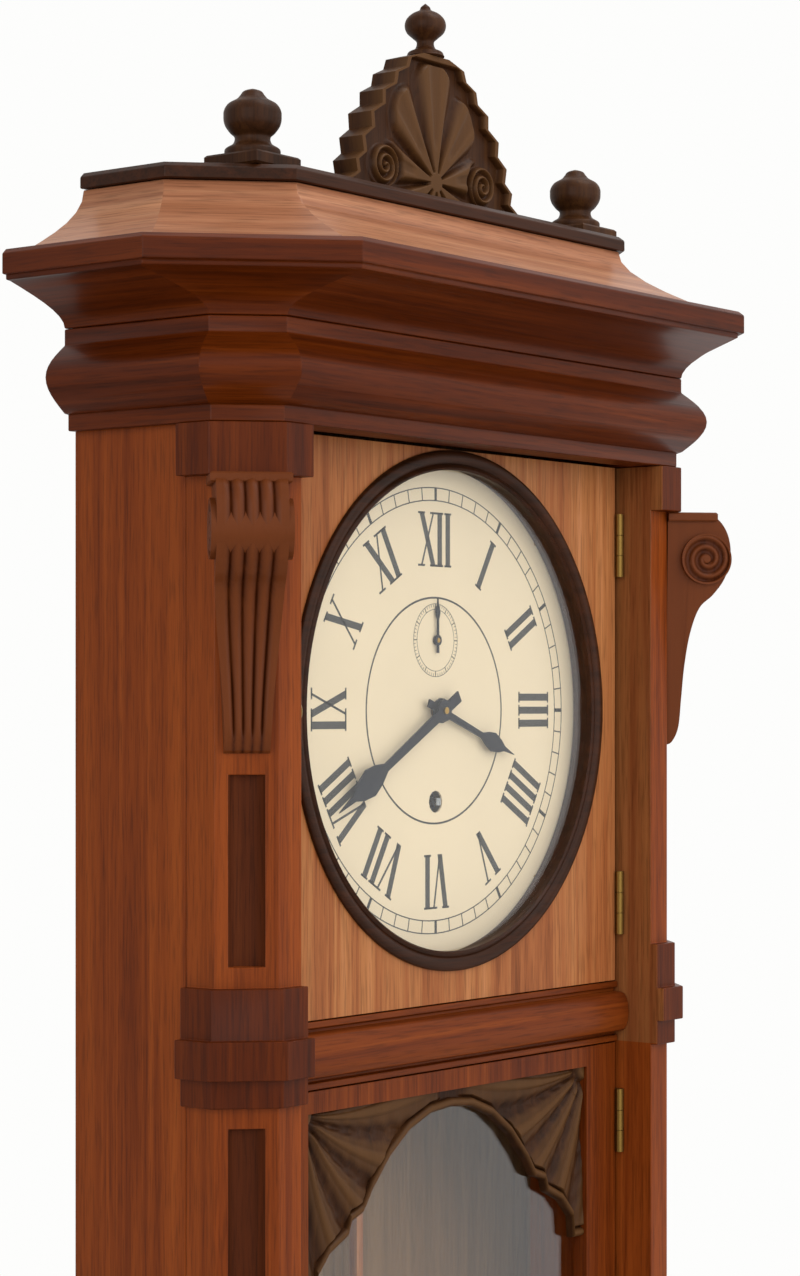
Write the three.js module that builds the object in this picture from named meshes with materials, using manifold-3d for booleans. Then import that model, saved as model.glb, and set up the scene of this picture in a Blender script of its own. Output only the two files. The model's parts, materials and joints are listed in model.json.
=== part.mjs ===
// Regulator wall clock with a round dial door over an arched pendulum door, canted fluted corners,
// scroll corbels, a flared cornice, a carved crest and turned finials, and a spring-driven movement
// with a dead-beat escapement and a long pendulum.
// Lengths are millimetres. X runs to the right as seen from the front, Y runs into the wall, Z is up.
// The origin is on the wall face of the backboard, on the centre line, level with the hands' arbor.

import * as THREE from 'three';
import { mergeVertices } from 'three/addons/utils/BufferGeometryUtils.js';
import Module from 'manifold-3d';

const wasm = await Module();
wasm.setup();

// Driving dimensions of the case
const dialOpening = 305;
const doorMargin = 31.5;
const caseDepth = 133;
const cantLeg = 26;
const postFace = 20;
const doorSetback = 26;
const sideThickness = 14;
const backThickness = 12;
const doorThickness = 16;
const doorGap = 0.8;
const dialRecess = 17;
const fit = 0.3;
const overrun = 1;

// Driving dimensions of the movement: the seconds arbor's rise over the hands' arbor, the winding
// arbor's drop below it, the dead-beat escape wheel, and the pendulum that beats with it
const secondsRise = 44;
const windingDrop = 57;
const escape = { teeth: 40, radius: 25, depth: 4.6, span: 8.5, drop: 0.3 };
const pendulum = { length: 559, springLength: 16, springHalf: 0.4, springDepth: 3.4, below: 86, room: 81 };

// Heights of the case, from the frieze down
const topRail = 9.5;
const bottomRail = 28.5;
const friezeHeight = 59;
const beltHeight = 40;
const baseHeight = 46;
const taperHeight = 92;
const coveHeight = 26;
const coronaHeight = 15;
const roofHeight = 42;
const atticHeight = 10;

// Offsets of the mouldings from the case's plan, outwards
const friezeOffset = 6;
const torusOffset = 25;
const neckOffset = 9;
const coronaOffset = 60;
const coronaCant = 86;
const roofFootOffset = 42;
const roofFootCant = 78;
const atticOffset = -4;
const atticFrontOffset = -13;
const atticCant = 54;
const capitalOffset = 9;
const blockOffset = 5;
const blockBandOffset = 10;
const plinthOffset = 8;
const baseOffset = 20;

// Derived planes and levels
const openingRadius = dialOpening / 2;
const postInner = openingRadius + doorMargin;
const halfCase = postInner + postFace + cantLeg;
const postFront = -caseDepth;
const doorFront = -(caseDepth - doorSetback);
const doorBack = doorFront + doorThickness;
const dialFront = doorFront + dialRecess;
const insideDepth = -dialFront - backThickness;
const dialDoorTop = openingRadius + topRail;
const dialDoorBottom = -(openingRadius + bottomRail);
const friezeBottom = dialDoorTop + doorGap;
const friezeTop = friezeBottom + friezeHeight;
const beltTop = dialDoorBottom - doorGap;
const beltBottom = beltTop - beltHeight;
const lowerDoorTop = beltBottom - doorGap;
const toothPitch = 2 * Math.PI / escape.teeth;
const halfSpan = escape.span * toothPitch / 2;
const pendulumAxis = secondsRise + escape.radius / Math.cos(halfSpan);
const rodBottom = pendulumAxis - pendulum.length - pendulum.below;
const lowerDoorBottom = rodBottom - pendulum.room;
const caseBottom = lowerDoorBottom - doorGap;
const baseBottom = caseBottom - baseHeight;
const coveTop = friezeTop + coveHeight;
const coronaTop = coveTop + coronaHeight;
const roofTop = coronaTop + roofHeight;
const atticTop = roofTop + atticHeight;

// Materials
const finish = (color, roughness, metalness = 0) =>
  new THREE.MeshStandardMaterial({ color, roughness, metalness });
const walnut = finish('#6f3a1a', 0.45);
const lightWalnut = finish('#8a5430', 0.45);
const darkWalnut = finish('#4a2410', 0.5);
const carvedWalnut = finish('#57381f', 0.6);
const pine = finish('#7d6243', 0.8);
const enamel = finish('#ede5be', 0.4);
const bluedSteel = finish('#1c1d24', 0.35, 0.8);
const brass = finish('#b08d3c', 0.35, 0.9);
const steel = finish('#8d9094', 0.35, 0.9);
const iron = finish('#3a3a3c', 0.6, 0.7);
const glass = new THREE.MeshStandardMaterial({
  color: '#aab2b0', roughness: 0.05, transparent: true, opacity: 0.3,
});

// Geometry helpers
function outward(geometry) {
  const flat = geometry.index ? geometry.toNonIndexed() : geometry;
  const p = flat.getAttribute('position');
  const [a, b, c] = [new THREE.Vector3(), new THREE.Vector3(), new THREE.Vector3()];
  let volume = 0;
  for (let i = 0; i < p.count; i += 3) {
    a.fromBufferAttribute(p, i);
    b.fromBufferAttribute(p, i + 1);
    c.fromBufferAttribute(p, i + 2);
    volume += a.dot(b.cross(c));
  }
  const bare = new THREE.BufferGeometry();
  bare.setAttribute('position', p.clone());
  const merged = mergeVertices(bare, 1e-5);
  if (volume < 0) {
    const index = merged.index.array;
    for (let i = 0; i < index.length; i += 3) {
      [index[i], index[i + 1]] = [index[i + 1], index[i]];
    }
  }
  return merged;
}

function toSolid(geometry) {
  const closed = outward(geometry);
  return new wasm.Manifold(new wasm.Mesh({
    numProp: 3,
    vertProperties: new Float32Array(closed.getAttribute('position').array),
    triVerts: new Uint32Array(closed.index.array),
  }));
}

function toGeometry(solid) {
  const { vertProperties, triVerts } = solid.getMesh();
  const geometry = new THREE.BufferGeometry();
  geometry.setAttribute('position', new THREE.BufferAttribute(vertProperties, 3));
  geometry.setIndex(new THREE.BufferAttribute(triVerts, 1));
  return geometry;
}

function join(...pieces) {
  return toGeometry(pieces.map(toSolid).reduce((sum, piece) => sum.add(piece)));
}

function cut(body, ...tools) {
  return toGeometry(tools.map(toSolid).reduce((rest, tool) => rest.subtract(tool), toSolid(body)));
}

// A box between two corners
function box(low, high) {
  const size = high.map((value, i) => value - low[i]);
  const centre = high.map((value, i) => (value + low[i]) / 2);
  return new THREE.BoxGeometry(...size).translate(...centre);
}

// An outline in the front view, X and Z, extruded from its back plane towards the front
function upright(shape, back, front, curveSegments = 12) {
  const depth = back - front;
  return new THREE.ExtrudeGeometry(shape, { depth, bevelEnabled: false, curveSegments })
    .rotateX(Math.PI / 2).translate(0, back, 0);
}

// An outline in plan, X and Y, extruded between two heights
function flat(points, low, high) {
  return new THREE.ExtrudeGeometry(outline(points), { depth: high - low, bevelEnabled: false })
    .translate(0, 0, low);
}

function outline(points) {
  return new THREE.Shape(points.map(([x, y]) => new THREE.Vector2(x, y)));
}

// A turned piece: pairs of radius and height, spun about the upright axis
function turned(profile, segments = 16) {
  const points = profile.map(([r, h]) => new THREE.Vector2(r, h));
  return outward(new THREE.LatheGeometry(points, segments)).rotateX(Math.PI / 2);
}

// A turned piece whose axis runs along Y: pairs of radius and Y
function turnedAlongY(profile, segments = 16) {
  const points = profile.map(([r, y]) => new THREE.Vector2(r, y));
  return outward(new THREE.LatheGeometry(points, segments));
}

function rod(radius, from, to, x = 0, z = 0, segments = 12) {
  return new THREE.CylinderGeometry(radius, radius, to - from, segments)
    .translate(x, (from + to) / 2, z);
}

function post(radius, low, high, x, y, segments = 12) {
  return new THREE.CylinderGeometry(radius, radius, high - low, segments)
    .rotateX(Math.PI / 2).translate(x, y, (low + high) / 2);
}

// Profile points along a quarter curve, as shares of the run between two levels
const curve = {
  straight: (t) => t,
  cove: (t) => 1 - Math.cos(t * Math.PI / 2),
  ovolo: (t) => Math.sin(t * Math.PI / 2),
  ogee: (t) => (1 - Math.cos(t * Math.PI)) / 2,
};

// The cant grows with the offset so that the canted face keeps its distance
const cantAt = (offset) => cantLeg + offset * (2 - Math.SQRT2);
const levelAt = (z, offset, cant = cantAt(offset), front = offset) => ({ z, offset, cant, front });

function run(from, to, shape, steps) {
  const mix = (a, b, t) => a + (b - a) * t;
  return Array.from({ length: steps + 1 }, (_, i) => {
    const t = i / steps;
    const s = shape(t);
    return {
      z: mix(from.z, to.z, t),
      offset: mix(from.offset, to.offset, s),
      cant: mix(from.cant, to.cant, s),
      front: mix(from.front, to.front, s),
    };
  });
}

// The case's plan at one level: a rectangle against the wall with two canted front corners
function planRing({ z, offset, cant, front }) {
  const w = halfCase + offset;
  const y = -(caseDepth + front);
  return [[-w, 0], [-w, y + cant], [-w + cant, y], [w - cant, y], [w, y + cant], [w, 0]]
    .map(([px, py]) => new THREE.Vector3(px, py, z));
}

// A closed solid through rings of equal count, each ring convex and turning to the left
function loft(rings) {
  const count = rings[0].length;
  const positions = rings.flat().flatMap((v) => [v.x, v.y, v.z]);
  const index = [];
  for (let i = 0; i + 1 < rings.length; i += 1) {
    for (let j = 0; j < count; j += 1) {
      const a = i * count + j;
      const b = i * count + (j + 1) % count;
      index.push(a, b, b + count, a, b + count, a + count);
    }
  }
  const top = (rings.length - 1) * count;
  for (let j = 1; j + 1 < count; j += 1) {
    index.push(0, j + 1, j, top, top + j, top + j + 1);
  }
  const geometry = new THREE.BufferGeometry();
  geometry.setAttribute('position', new THREE.Float32BufferAttribute(positions, 3));
  geometry.setIndex(index);
  return geometry;
}

// Levels at the same height are the flat of a fillet, so each level is kept once
const moulding = (...runs) => loft(runs.flat().map(planRing));

const clock = new THREE.Group();

function add(name, geometry, material) {
  const mesh = new THREE.Mesh(outward(geometry), material);
  mesh.name = name;
  clock.add(mesh);
  return mesh;
}

const sides = [['left', -1], ['right', 1]];

// Backboard, with the hanger plate let in flush at the back
const hanger = { width: 60, height: 44, thickness: 2.5, drop: 17, eye: 5.5, slot: 3, slotRise: 16 };
const pocketDepth = 6;
const hangerTop = friezeTop - hanger.drop;
const backHalf = halfCase - sideThickness - fit;
const hangerLow = hangerTop - hanger.height;
const hangerEye = hangerLow + hanger.height / 3;

add('backboard', cut(
  box([-backHalf, -backThickness, caseBottom], [backHalf, 0, friezeTop]),
  box([-hanger.width / 2 - fit, -hanger.thickness - fit, hangerLow - fit],
    [hanger.width / 2 + fit, overrun, hangerTop + fit]),
  box([-hanger.eye * 2, -pocketDepth, hangerLow + hanger.eye],
    [hanger.eye * 2, overrun, hangerTop - hanger.eye]),
), pine);

add('hanger_plate', cut(
  box([-hanger.width / 2, -hanger.thickness, hangerLow], [hanger.width / 2, 0, hangerTop]),
  rod(hanger.eye, -hanger.thickness - overrun, overrun, 0, hangerEye),
  rod(hanger.slot, -hanger.thickness - overrun, overrun, 0, hangerEye + hanger.slotRise),
  box([-hanger.slot, -hanger.thickness - overrun, hangerEye],
    [hanger.slot, overrun, hangerEye + hanger.slotRise]),
), brass);

// Sides and canted corner posts, each post with a capital, a belt block, a plinth and two flutes
const lipWidth = 8;
const lipDepth = 5;
const postBack = doorBack + lipDepth;
const capitalHeight = 30;
const blockHeight = 66;
const blockBand = { top: 3, height: 22 };
const plinthHeight = 44;
const flute = { radius: 13, depth: 6, margin: 12 };

const postPlan = (offset) => [
  [-(halfCase + offset), postBack],
  [-(halfCase + offset), postFront - offset + cantAt(offset)],
  [-(halfCase + offset) + cantAt(offset), postFront - offset],
  [-postInner, postFront - offset],
  [-postInner, postBack],
];
const lipPlan = [
  [-postInner - overrun, doorBack + fit],
  [-postInner + lipWidth, doorBack + fit],
  [-postInner + lipWidth, postBack],
  [-postInner - overrun, postBack],
];
const blockTop = beltBottom + blockHeight;
const bandTop = beltTop - blockBand.top;
const cantCentre = [-(halfCase - cantLeg / 2), postFront + cantLeg / 2];
const fluteShift = (flute.radius - flute.depth) * Math.SQRT1_2;
const corbel = { width: 40, reach: 43, height: 156, roll: 17, rollWidth: 46, capThick: 6, rollShare: 0.8 };
const corbelTop = friezeBottom - capitalHeight - fit;
const upperFluteTop = corbelTop - corbel.height - flute.margin;
const fluteTool = (low, high) =>
  post(flute.radius, low, high, cantCentre[0] - fluteShift, cantCentre[1] - fluteShift);

// Turn-button latches: a tongue turns inside the door's edge and swings into a slot in the post
const latch = {
  inset: 10.5, spindle: 2, knob: 7, knobLength: 14, tongue: 15.5, tongueHalf: 3.6, tongueThick: 1.8,
};
const doorLeft = -postInner + doorGap;
const latchX = doorLeft + latch.inset;
const latchY = (doorFront + doorBack) / 2;
const latchLevels = { dial: 0, pendulum: (lowerDoorTop + lowerDoorBottom) / 2 };
const latchSweep = Math.hypot(latch.tongue, latch.tongueHalf) + fit;
const latchHeel = latch.tongueHalf * Math.SQRT2 + fit;
const latchSlot = (z) => box(
  [latchX - latchSweep, latchY - latch.tongueThick, z - latchHeel],
  [-postInner + overrun, latchY + latch.tongueThick, z + latchSweep],
);

for (const [side, sign] of sides) {
  const sideBoard = box([halfCase - sideThickness, postBack + fit, caseBottom], [halfCase, 0, friezeTop]);
  add(`${side}_side`, sign > 0 ? sideBoard : sideBoard.scale(-1, 1, 1), walnut);

  let corner = join(
    flat(postPlan(0), caseBottom, friezeBottom - fit),
    flat(lipPlan, caseBottom, friezeBottom - fit),
    flat(postPlan(capitalOffset), friezeBottom - capitalHeight, friezeBottom - fit),
    flat(postPlan(blockOffset), beltBottom - overrun, blockTop),
    flat(postPlan(blockBandOffset), bandTop - blockBand.height, bandTop),
    flat(postPlan(plinthOffset), caseBottom, caseBottom + plinthHeight),
  );
  corner = cut(
    corner,
    fluteTool(blockTop + flute.margin, upperFluteTop),
    fluteTool(caseBottom + plinthHeight + flute.margin, beltBottom - overrun - flute.margin),
  );
  if (sign < 0) {
    corner = cut(corner, latchSlot(latchLevels.dial), latchSlot(latchLevels.pendulum));
  }
  add(`${side}_corner_post`, corner.scale(-sign, 1, 1), walnut);
}

// Scroll corbels on the canted corners, under the capitals
const corbelShares = [
  [0, 0], [0.1, 0.015], [0.2, 0.08], [0.24, 0.21], [0.28, 0.35], [0.36, 0.49], [0.5, 0.6],
  [0.72, 0.66], [0.9, 0.73], [1, 0.82], [0.96, 0.92], [0.8, 0.99], [0.6, 1], [0, 1],
];
const capReachShare = 0.78;
const scrollSegments = 20;
const scrollTop = corbelTop - corbel.capThick / 2;
const scrollHeight = corbel.height - corbel.capThick / 2;
const rollCentre = [corbel.reach - corbel.roll, corbelTop - corbel.height * (1 - corbel.rollShare)];

function corbelBlank() {
  const profile = corbelShares.map(([u, v]) => [u * corbel.reach, scrollTop - scrollHeight * (1 - v)]);
  const body = upright(outline(profile), corbel.width / 2, -corbel.width / 2);
  const roll = rod(corbel.roll, -corbel.rollWidth / 2, corbel.rollWidth / 2, ...rollCentre, scrollSegments);
  const cap = box([0, -corbel.rollWidth / 2, corbelTop - corbel.capThick],
    [corbel.reach * capReachShare, corbel.rollWidth / 2, corbelTop]);
  return join(body, roll, cap);
}

for (const [side, sign] of sides) {
  const facing = sign > 0 ? -Math.PI / 4 : -Math.PI * 3 / 4;
  const out = fit * Math.SQRT1_2;
  const placed = corbelBlank().rotateZ(facing)
    .translate(-sign * cantCentre[0] + sign * out, cantCentre[1] - out, 0);
  add(`${side}_corbel`, placed, carvedWalnut);
}

// Frieze with its torus: a moulding round the front and sides, hollow behind
const torusShares = { bottom: 0.16, top: 0.84 };
const torusBottom = friezeBottom + friezeHeight * torusShares.bottom;
const torusTop = friezeBottom + friezeHeight * torusShares.top;
const torusMiddle = (torusBottom + torusTop) / 2;
const friezeWall = 18;
const friezeSolid = moulding(
  [levelAt(friezeBottom, friezeOffset), levelAt(torusBottom, friezeOffset)],
  run(levelAt(torusBottom + fit, neckOffset), levelAt(torusMiddle, torusOffset), curve.ovolo, 6),
  run(levelAt(torusMiddle + fit, torusOffset), levelAt(torusTop, neckOffset), curve.cove, 6),
  [levelAt(friezeTop, neckOffset)],
);
add('frieze_moulding', cut(
  friezeSolid,
  box([-halfCase - fit, postBack, friezeBottom - overrun], [halfCase + fit, overrun, friezeTop + overrun]),
  box([-postInner, postFront + friezeWall, friezeBottom - overrun],
    [postInner, overrun, friezeTop + overrun]),
), walnut);

// Cornice: a cove flares out to the corona, whose corners are cut back much wider than the case
const coronaLip = 3;
add('cornice_moulding', moulding(
  run(levelAt(friezeTop + fit, neckOffset),
    levelAt(coveTop - coronaLip, coronaOffset - coronaLip * 2, coronaCant), curve.cove, 7),
  [levelAt(coveTop - coronaLip + fit, coronaOffset - coronaLip, coronaCant),
    levelAt(coveTop, coronaOffset - coronaLip, coronaCant),
    levelAt(coveTop + fit, coronaOffset, coronaCant),
    levelAt(coronaTop - coronaLip, coronaOffset, coronaCant),
    levelAt(coronaTop, coronaOffset - coronaLip, coronaCant)],
), walnut);

// Hipped roof slope up to the attic board that carries crest and finials
add('roof_slope', moulding(
  run(levelAt(coronaTop + fit, roofFootOffset, roofFootCant),
    levelAt(roofTop, atticOffset - coronaLip, atticCant, atticFrontOffset - coronaLip), curve.ovolo, 6),
), lightWalnut);

add('attic_board', moulding(
  [levelAt(roofTop + fit, atticOffset, atticCant, atticFrontOffset),
    levelAt(atticTop - coronaLip, atticOffset, atticCant, atticFrontOffset),
    levelAt(atticTop, atticOffset - coronaLip, atticCant, atticFrontOffset - coronaLip)],
), darkWalnut);

// Crest: a stepped, scalloped board, with a turned knob on top, between two squat finials
const crest = { halfWidth: 88, height: 94, thickness: 18, setback: 50 };
const crestShares = [
  [1, 0], [1, 0.07], [0.91, 0.12], [0.93, 0.2], [0.84, 0.26], [0.86, 0.36], [0.75, 0.43],
  [0.76, 0.53], [0.63, 0.6], [0.63, 0.69], [0.5, 0.75], [0.48, 0.83], [0.36, 0.88], [0.33, 0.95],
  [0.15, 1],
];
const crestY = postFront + crest.setback;
const crestFoot = atticTop + fit;
const crestHalf = crestShares.map(([u, v]) => [u * crest.halfWidth, crestFoot + v * crest.height]);
const crestOutline = [...crestHalf, ...crestHalf.map(([x, z]) => [-x, z]).reverse()];
add('crest', upright(outline(crestOutline), crestY + crest.thickness / 2,
  crestY - crest.thickness / 2), carvedWalnut);

const knob = { radius: 13, height: 34 };
const knobShares = [
  [0, 0], [0.85, 0], [0.85, 0.1], [0.5, 0.16], [0.42, 0.28], [0.62, 0.36], [0.9, 0.46],
  [1, 0.58], [0.92, 0.7], [0.66, 0.8], [0.3, 0.87], [0.22, 0.93], [0, 1],
];
add('crest_finial', turned(knobShares.map(([r, h]) => [r * knob.radius, h * knob.height]))
  .translate(0, crestY, crestFoot + crest.height + fit), carvedWalnut);

const finial = { inset: 62, radius: 17, height: 48, plinth: 40, plinthHeight: 8 };
const finialShares = [
  [0, 0], [0.95, 0], [0.95, 0.1], [0.68, 0.18], [0.62, 0.28], [0.8, 0.36], [0.97, 0.48], [1, 0.64],
  [0.86, 0.76], [0.55, 0.84], [0.42, 0.9], [0.3, 0.96], [0, 1],
];
for (const [side, sign] of sides) {
  const bodyHeight = finial.height - finial.plinthHeight;
  const vase = turned(finialShares.map(([r, h]) => [r * finial.radius, h * bodyHeight]))
    .translate(0, 0, finial.plinthHeight - fit);
  const foot = box([-finial.plinth / 2, -finial.plinth / 2, 0],
    [finial.plinth / 2, finial.plinth / 2, finial.plinthHeight]);
  add(`${side}_finial`, join(foot, vase)
    .translate(sign * (halfCase - finial.inset), crestY, crestFoot), carvedWalnut);
}

// Belt rail between the two doors: a torus between two quirks
const belt = { projection: 9, quirk: 3, quirkWidth: 3, land: 4, edgeShare: 0.4 };
function beltProfile() {
  const low = beltTop - beltHeight;
  const bead = beltHeight - 2 * (belt.land + belt.quirkWidth);
  const steps = 8;
  const beadPoints = Array.from({ length: steps + 1 }, (_, i) => {
    const angle = Math.PI * i / steps;
    const z = low + belt.land + belt.quirkWidth + bead * (1 - Math.cos(angle)) / 2;
    return [doorFront - belt.projection * (belt.edgeShare + (1 - belt.edgeShare) * Math.sin(angle)), z];
  });
  return [
    [postBack, low], [doorFront, low], [doorFront, low + belt.land],
    [doorFront + belt.quirk, low + belt.land + fit],
    [doorFront + belt.quirk, low + belt.land + belt.quirkWidth - fit],
    ...beadPoints,
    [doorFront + belt.quirk, beltTop - belt.land - belt.quirkWidth + fit],
    [doorFront + belt.quirk, beltTop - belt.land - fit], [doorFront, beltTop - belt.land],
    [doorFront, beltTop], [postBack, beltTop],
  ];
}
const beltHalf = postInner - fit;
const beltBack = cut(
  new THREE.ExtrudeGeometry(outline(beltProfile()), { depth: 2 * beltHalf, bevelEnabled: false })
    .applyMatrix4(new THREE.Matrix4().makeBasis(
      new THREE.Vector3(0, 1, 0), new THREE.Vector3(0, 0, 1), new THREE.Vector3(1, 0, 0)))
    .translate(-beltHalf, 0, 0),
  ...sides.map(([, sign]) => {
    const inner = sign * (postInner - lipWidth - fit);
    const outer = sign * (postInner + overrun);
    return box([Math.min(inner, outer), doorBack, beltBottom - overrun],
      [Math.max(inner, outer), postBack + overrun, beltTop + overrun]);
  }),
);
add('belt_rail', beltBack, walnut);

// Base moulding, tapered bottom and turned drop
const baseTop = caseBottom - fit;
add('base_moulding', moulding(
  run(levelAt(baseBottom, baseOffset - coronaLip), levelAt(baseBottom + coronaLip, baseOffset),
    curve.straight, 1),
  run(levelAt(baseBottom + baseHeight / 3, baseOffset), levelAt(baseTop - coronaLip, plinthOffset),
    curve.ogee, 8),
  [levelAt(baseTop, plinthOffset)],
), walnut);

const taperBottomHalf = 60;
const taperBottomDepth = 76;
const taperFoot = baseBottom - fit - taperHeight;
const taperShrink = halfCase - taperBottomHalf;
const taperTo = levelAt(taperFoot, -taperShrink, cantLeg, taperBottomDepth - caseDepth);
add('bottom_taper', moulding(
  run(taperTo, levelAt(baseBottom - fit, 0), curve.ogee, 10),
), walnut);

const drop = { radius: 26, height: 56 };
const dropShares = [
  [0, 0], [0.2, 0.03], [0.3, 0.12], [0.2, 0.2], [0.34, 0.26], [0.72, 0.38], [0.9, 0.52],
  [0.84, 0.66], [0.5, 0.78], [0.46, 0.86], [1, 0.9], [1, 1], [0, 1],
];
add('drop_finial', turned(dropShares.map(([r, h]) => [r * drop.radius, h * drop.height]))
  .translate(0, -taperBottomDepth / 2, taperFoot - fit - drop.height), carvedWalnut);

// Doors hang between the posts on butt hinges at the right and shut against the posts' lips
const hinge = { length: 42, knuckle: 2.8, pin: 1.2, leaf: 1.2, leafDepth: 13, gap: 0.4 };
const pivotX = postInner - fit - hinge.knuckle;
const pivotY = doorFront - fit - hinge.knuckle;
const doorRight = pivotX - hinge.knuckle / 4;
const hingeInset = 52;

function hingeHalves(name, z) {
  const third = hinge.length / 3;
  const low = z - hinge.length / 2;
  const caseLeafX = postInner - fit - hinge.leaf;
  const doorLeafX = doorRight + fit;
  const knuckle = (from, to) => post(hinge.knuckle, from, to, pivotX, pivotY);
  const middle = [low + third + hinge.gap, low + 2 * third - hinge.gap];
  const fixed = join(
    box([caseLeafX, pivotY, low], [caseLeafX + hinge.leaf, pivotY + hinge.leafDepth, low + hinge.length]),
    knuckle(low, low + third),
    knuckle(low + 2 * third, low + hinge.length),
  );
  const cleared = cut(fixed, post(hinge.knuckle + fit, low + third, low + 2 * third, pivotX, pivotY));
  add(`${name}_case_leaf`, join(cleared, post(hinge.pin, low, low + hinge.length, pivotX, pivotY)), brass);
  const swinging = cut(
    join(box([doorLeafX, pivotY, low], [doorLeafX + hinge.leaf, pivotY + hinge.leafDepth,
      low + hinge.length]), knuckle(...middle)),
    post(hinge.knuckle + fit, low - overrun, middle[0] - hinge.gap + fit, pivotX, pivotY),
    post(hinge.knuckle + fit, middle[1] + hinge.gap - fit, low + hinge.length + overrun, pivotX, pivotY),
    post(hinge.pin + fit, middle[0] - overrun, middle[1] + overrun, pivotX, pivotY),
  );
  add(`${name}_door_leaf`, swinging, brass);
}

const knobSegments = 16;
function latchPiece(name, z) {
  const back = latchY + latch.tongueThick / 2;
  const knobProfile = [
    [0, 0], [0.55, 0], [0.5, 0.25], [0.42, 0.4], [0.75, 0.5], [1, 0.68], [0.95, 0.85],
    [0.6, 0.97], [0, 1],
  ].map(([r, h]) => [r * latch.knob, doorFront - fit - h * latch.knobLength]);
  const tongue = box([latchX - latch.tongueHalf, back - latch.tongueThick, z - latch.tongueHalf],
    [latchX + latch.tongueHalf, back, z + latch.tongue]);
  add(`${name}_latch`, join(
    turnedAlongY(knobProfile, knobSegments).translate(latchX, 0, z),
    rod(latch.spindle, doorFront - overrun, back, latchX, z),
    tongue,
  ), brass);
}

// A mortise in the door's left edge takes the latch tongue, and a hole takes its spindle
const latchMortise = (z) => box(
  [doorLeft - overrun, latchY - latch.tongueThick, z - latchHeel],
  [latchX + latchHeel, latchY + latch.tongueThick, z + latchSweep],
);
const spindleHole = (z) => rod(latch.spindle + fit, doorFront - overrun, latchY, latchX, z);

// Dial door with its turned bezel and round glass
const bezel = { lip: 3, band: 5, proud: 3.5 };
const glassThickness = 2;
const glassRecess = 2.5;
const glassFront = doorFront + glassRecess;
const bezelBore = openingRadius + bezel.band;
const dialSegments = 48;
add('dial_door', cut(
  box([doorLeft, doorFront, dialDoorBottom], [doorRight, doorBack, dialDoorTop]),
  rod(bezelBore + fit, doorFront - overrun, doorBack + overrun, 0, 0, dialSegments),
  latchMortise(latchLevels.dial),
  spindleHole(latchLevels.dial),
), lightWalnut);

const bezelFront = doorFront - bezel.proud;
const flangeBack = doorFront - fit;
const flangeOuter = openingRadius + topRail - fit;
add('dial_bezel', turnedAlongY([
  [openingRadius - bezel.lip, glassFront - fit], [openingRadius - bezel.lip, flangeBack - bezel.lip / 2],
  [openingRadius + bezel.band / 2, bezelFront], [flangeOuter, bezelFront + bezel.lip / 3],
  [flangeOuter, flangeBack], [bezelBore, flangeBack], [bezelBore, doorBack],
  [openingRadius + fit, doorBack], [openingRadius + fit, glassFront - fit],
  [openingRadius - bezel.lip, glassFront - fit],
], dialSegments), darkWalnut);

add('dial_glass', rod(openingRadius, glassFront, glassFront + glassThickness, 0, 0, dialSegments), glass);
latchPiece('dial_door', latchLevels.dial);

// Pendulum door with a rebate for its glass and a carved arch in the top of the opening
const window = { stile: 38, topRail: 13, bottomRail: 14, rebate: 6, rebateDepth: 6 };
const windowHalf = postInner - window.stile;
const windowTop = lowerDoorTop - window.topRail;
const windowBottom = lowerDoorBottom + window.bottomRail;
const paneFront = doorBack - window.rebateDepth;
add('pendulum_door', cut(
  box([doorLeft, doorFront, lowerDoorBottom], [doorRight, doorBack, lowerDoorTop]),
  box([-windowHalf, doorFront - overrun, windowBottom], [windowHalf, doorBack + overrun, windowTop]),
  box([-windowHalf - window.rebate, paneFront, windowBottom - window.rebate],
    [windowHalf + window.rebate, doorBack + overrun, windowTop + window.rebate]),
  latchMortise(latchLevels.pendulum),
  spindleHole(latchLevels.pendulum),
), walnut);

const paneHalf = windowHalf + window.rebate - fit;
add('pendulum_door_glass', box(
  [-paneHalf, paneFront + fit, windowBottom - window.rebate + fit],
  [paneHalf, paneFront + fit + glassThickness, windowTop + window.rebate - fit],
), glass);
latchPiece('pendulum_door', latchLevels.pendulum);

const arch = { drop: 112, thickness: 7, recess: 2, crown: 11 };
const archShares = [
  [1, 1], [0.93, 1], [0.92, 0.86], [0.84, 0.74], [0.72, 0.66], [0.7, 0.58], [0.62, 0.54],
  [0.56, 0.42], [0.44, 0.24], [0.3, 0.1], [0.15, 0.02], [0, 0],
];
const archOuter = windowHalf - fit;
const archTop = windowTop - fit;
const archHalf = archShares.map(([u, v]) => [
  u * archOuter, archTop - arch.crown - v * (arch.drop - arch.crown)]);
const archPoints = [
  [-archOuter, archTop], ...archHalf.map(([x, z]) => [-x, z]), ...archHalf.slice(0, -1).reverse(),
  [archOuter, archTop],
];
add('door_arch', upright(outline(archPoints), doorFront + arch.recess + arch.thickness,
  doorFront + arch.recess), carvedWalnut);

for (const [door, low, high] of [
  ['dial', dialDoorBottom, dialDoorTop], ['pendulum', lowerDoorBottom, lowerDoorTop]]) {
  hingeHalves(`${door}_upper_hinge`, high - hingeInset);
  hingeHalves(`${door}_lower_hinge`, low + hingeInset);
}

// Stations of the movement: its plates and the pendulum stand at shares of the depth inside the case
const depthShares = { frontPlate: 0.18, backPlate: 0.64, pendulum: 0.81 };
const inside = (share) => dialFront + share * insideDepth;
const plate = { halfWidth: 52, top: 94, bottom: -98, thickness: 2.5, corner: 10, endShake: 0.6 };
const plateFront = inside(depthShares.frontPlate);
const plateBack = inside(depthShares.backPlate);
const frontPlateBack = plateFront + plate.thickness;
const backPlateRear = plateBack + plate.thickness;
const plateRoom = plateBack - frontPlateBack;
const between = (share) => frontPlateBack + share * plateRoom;

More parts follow.
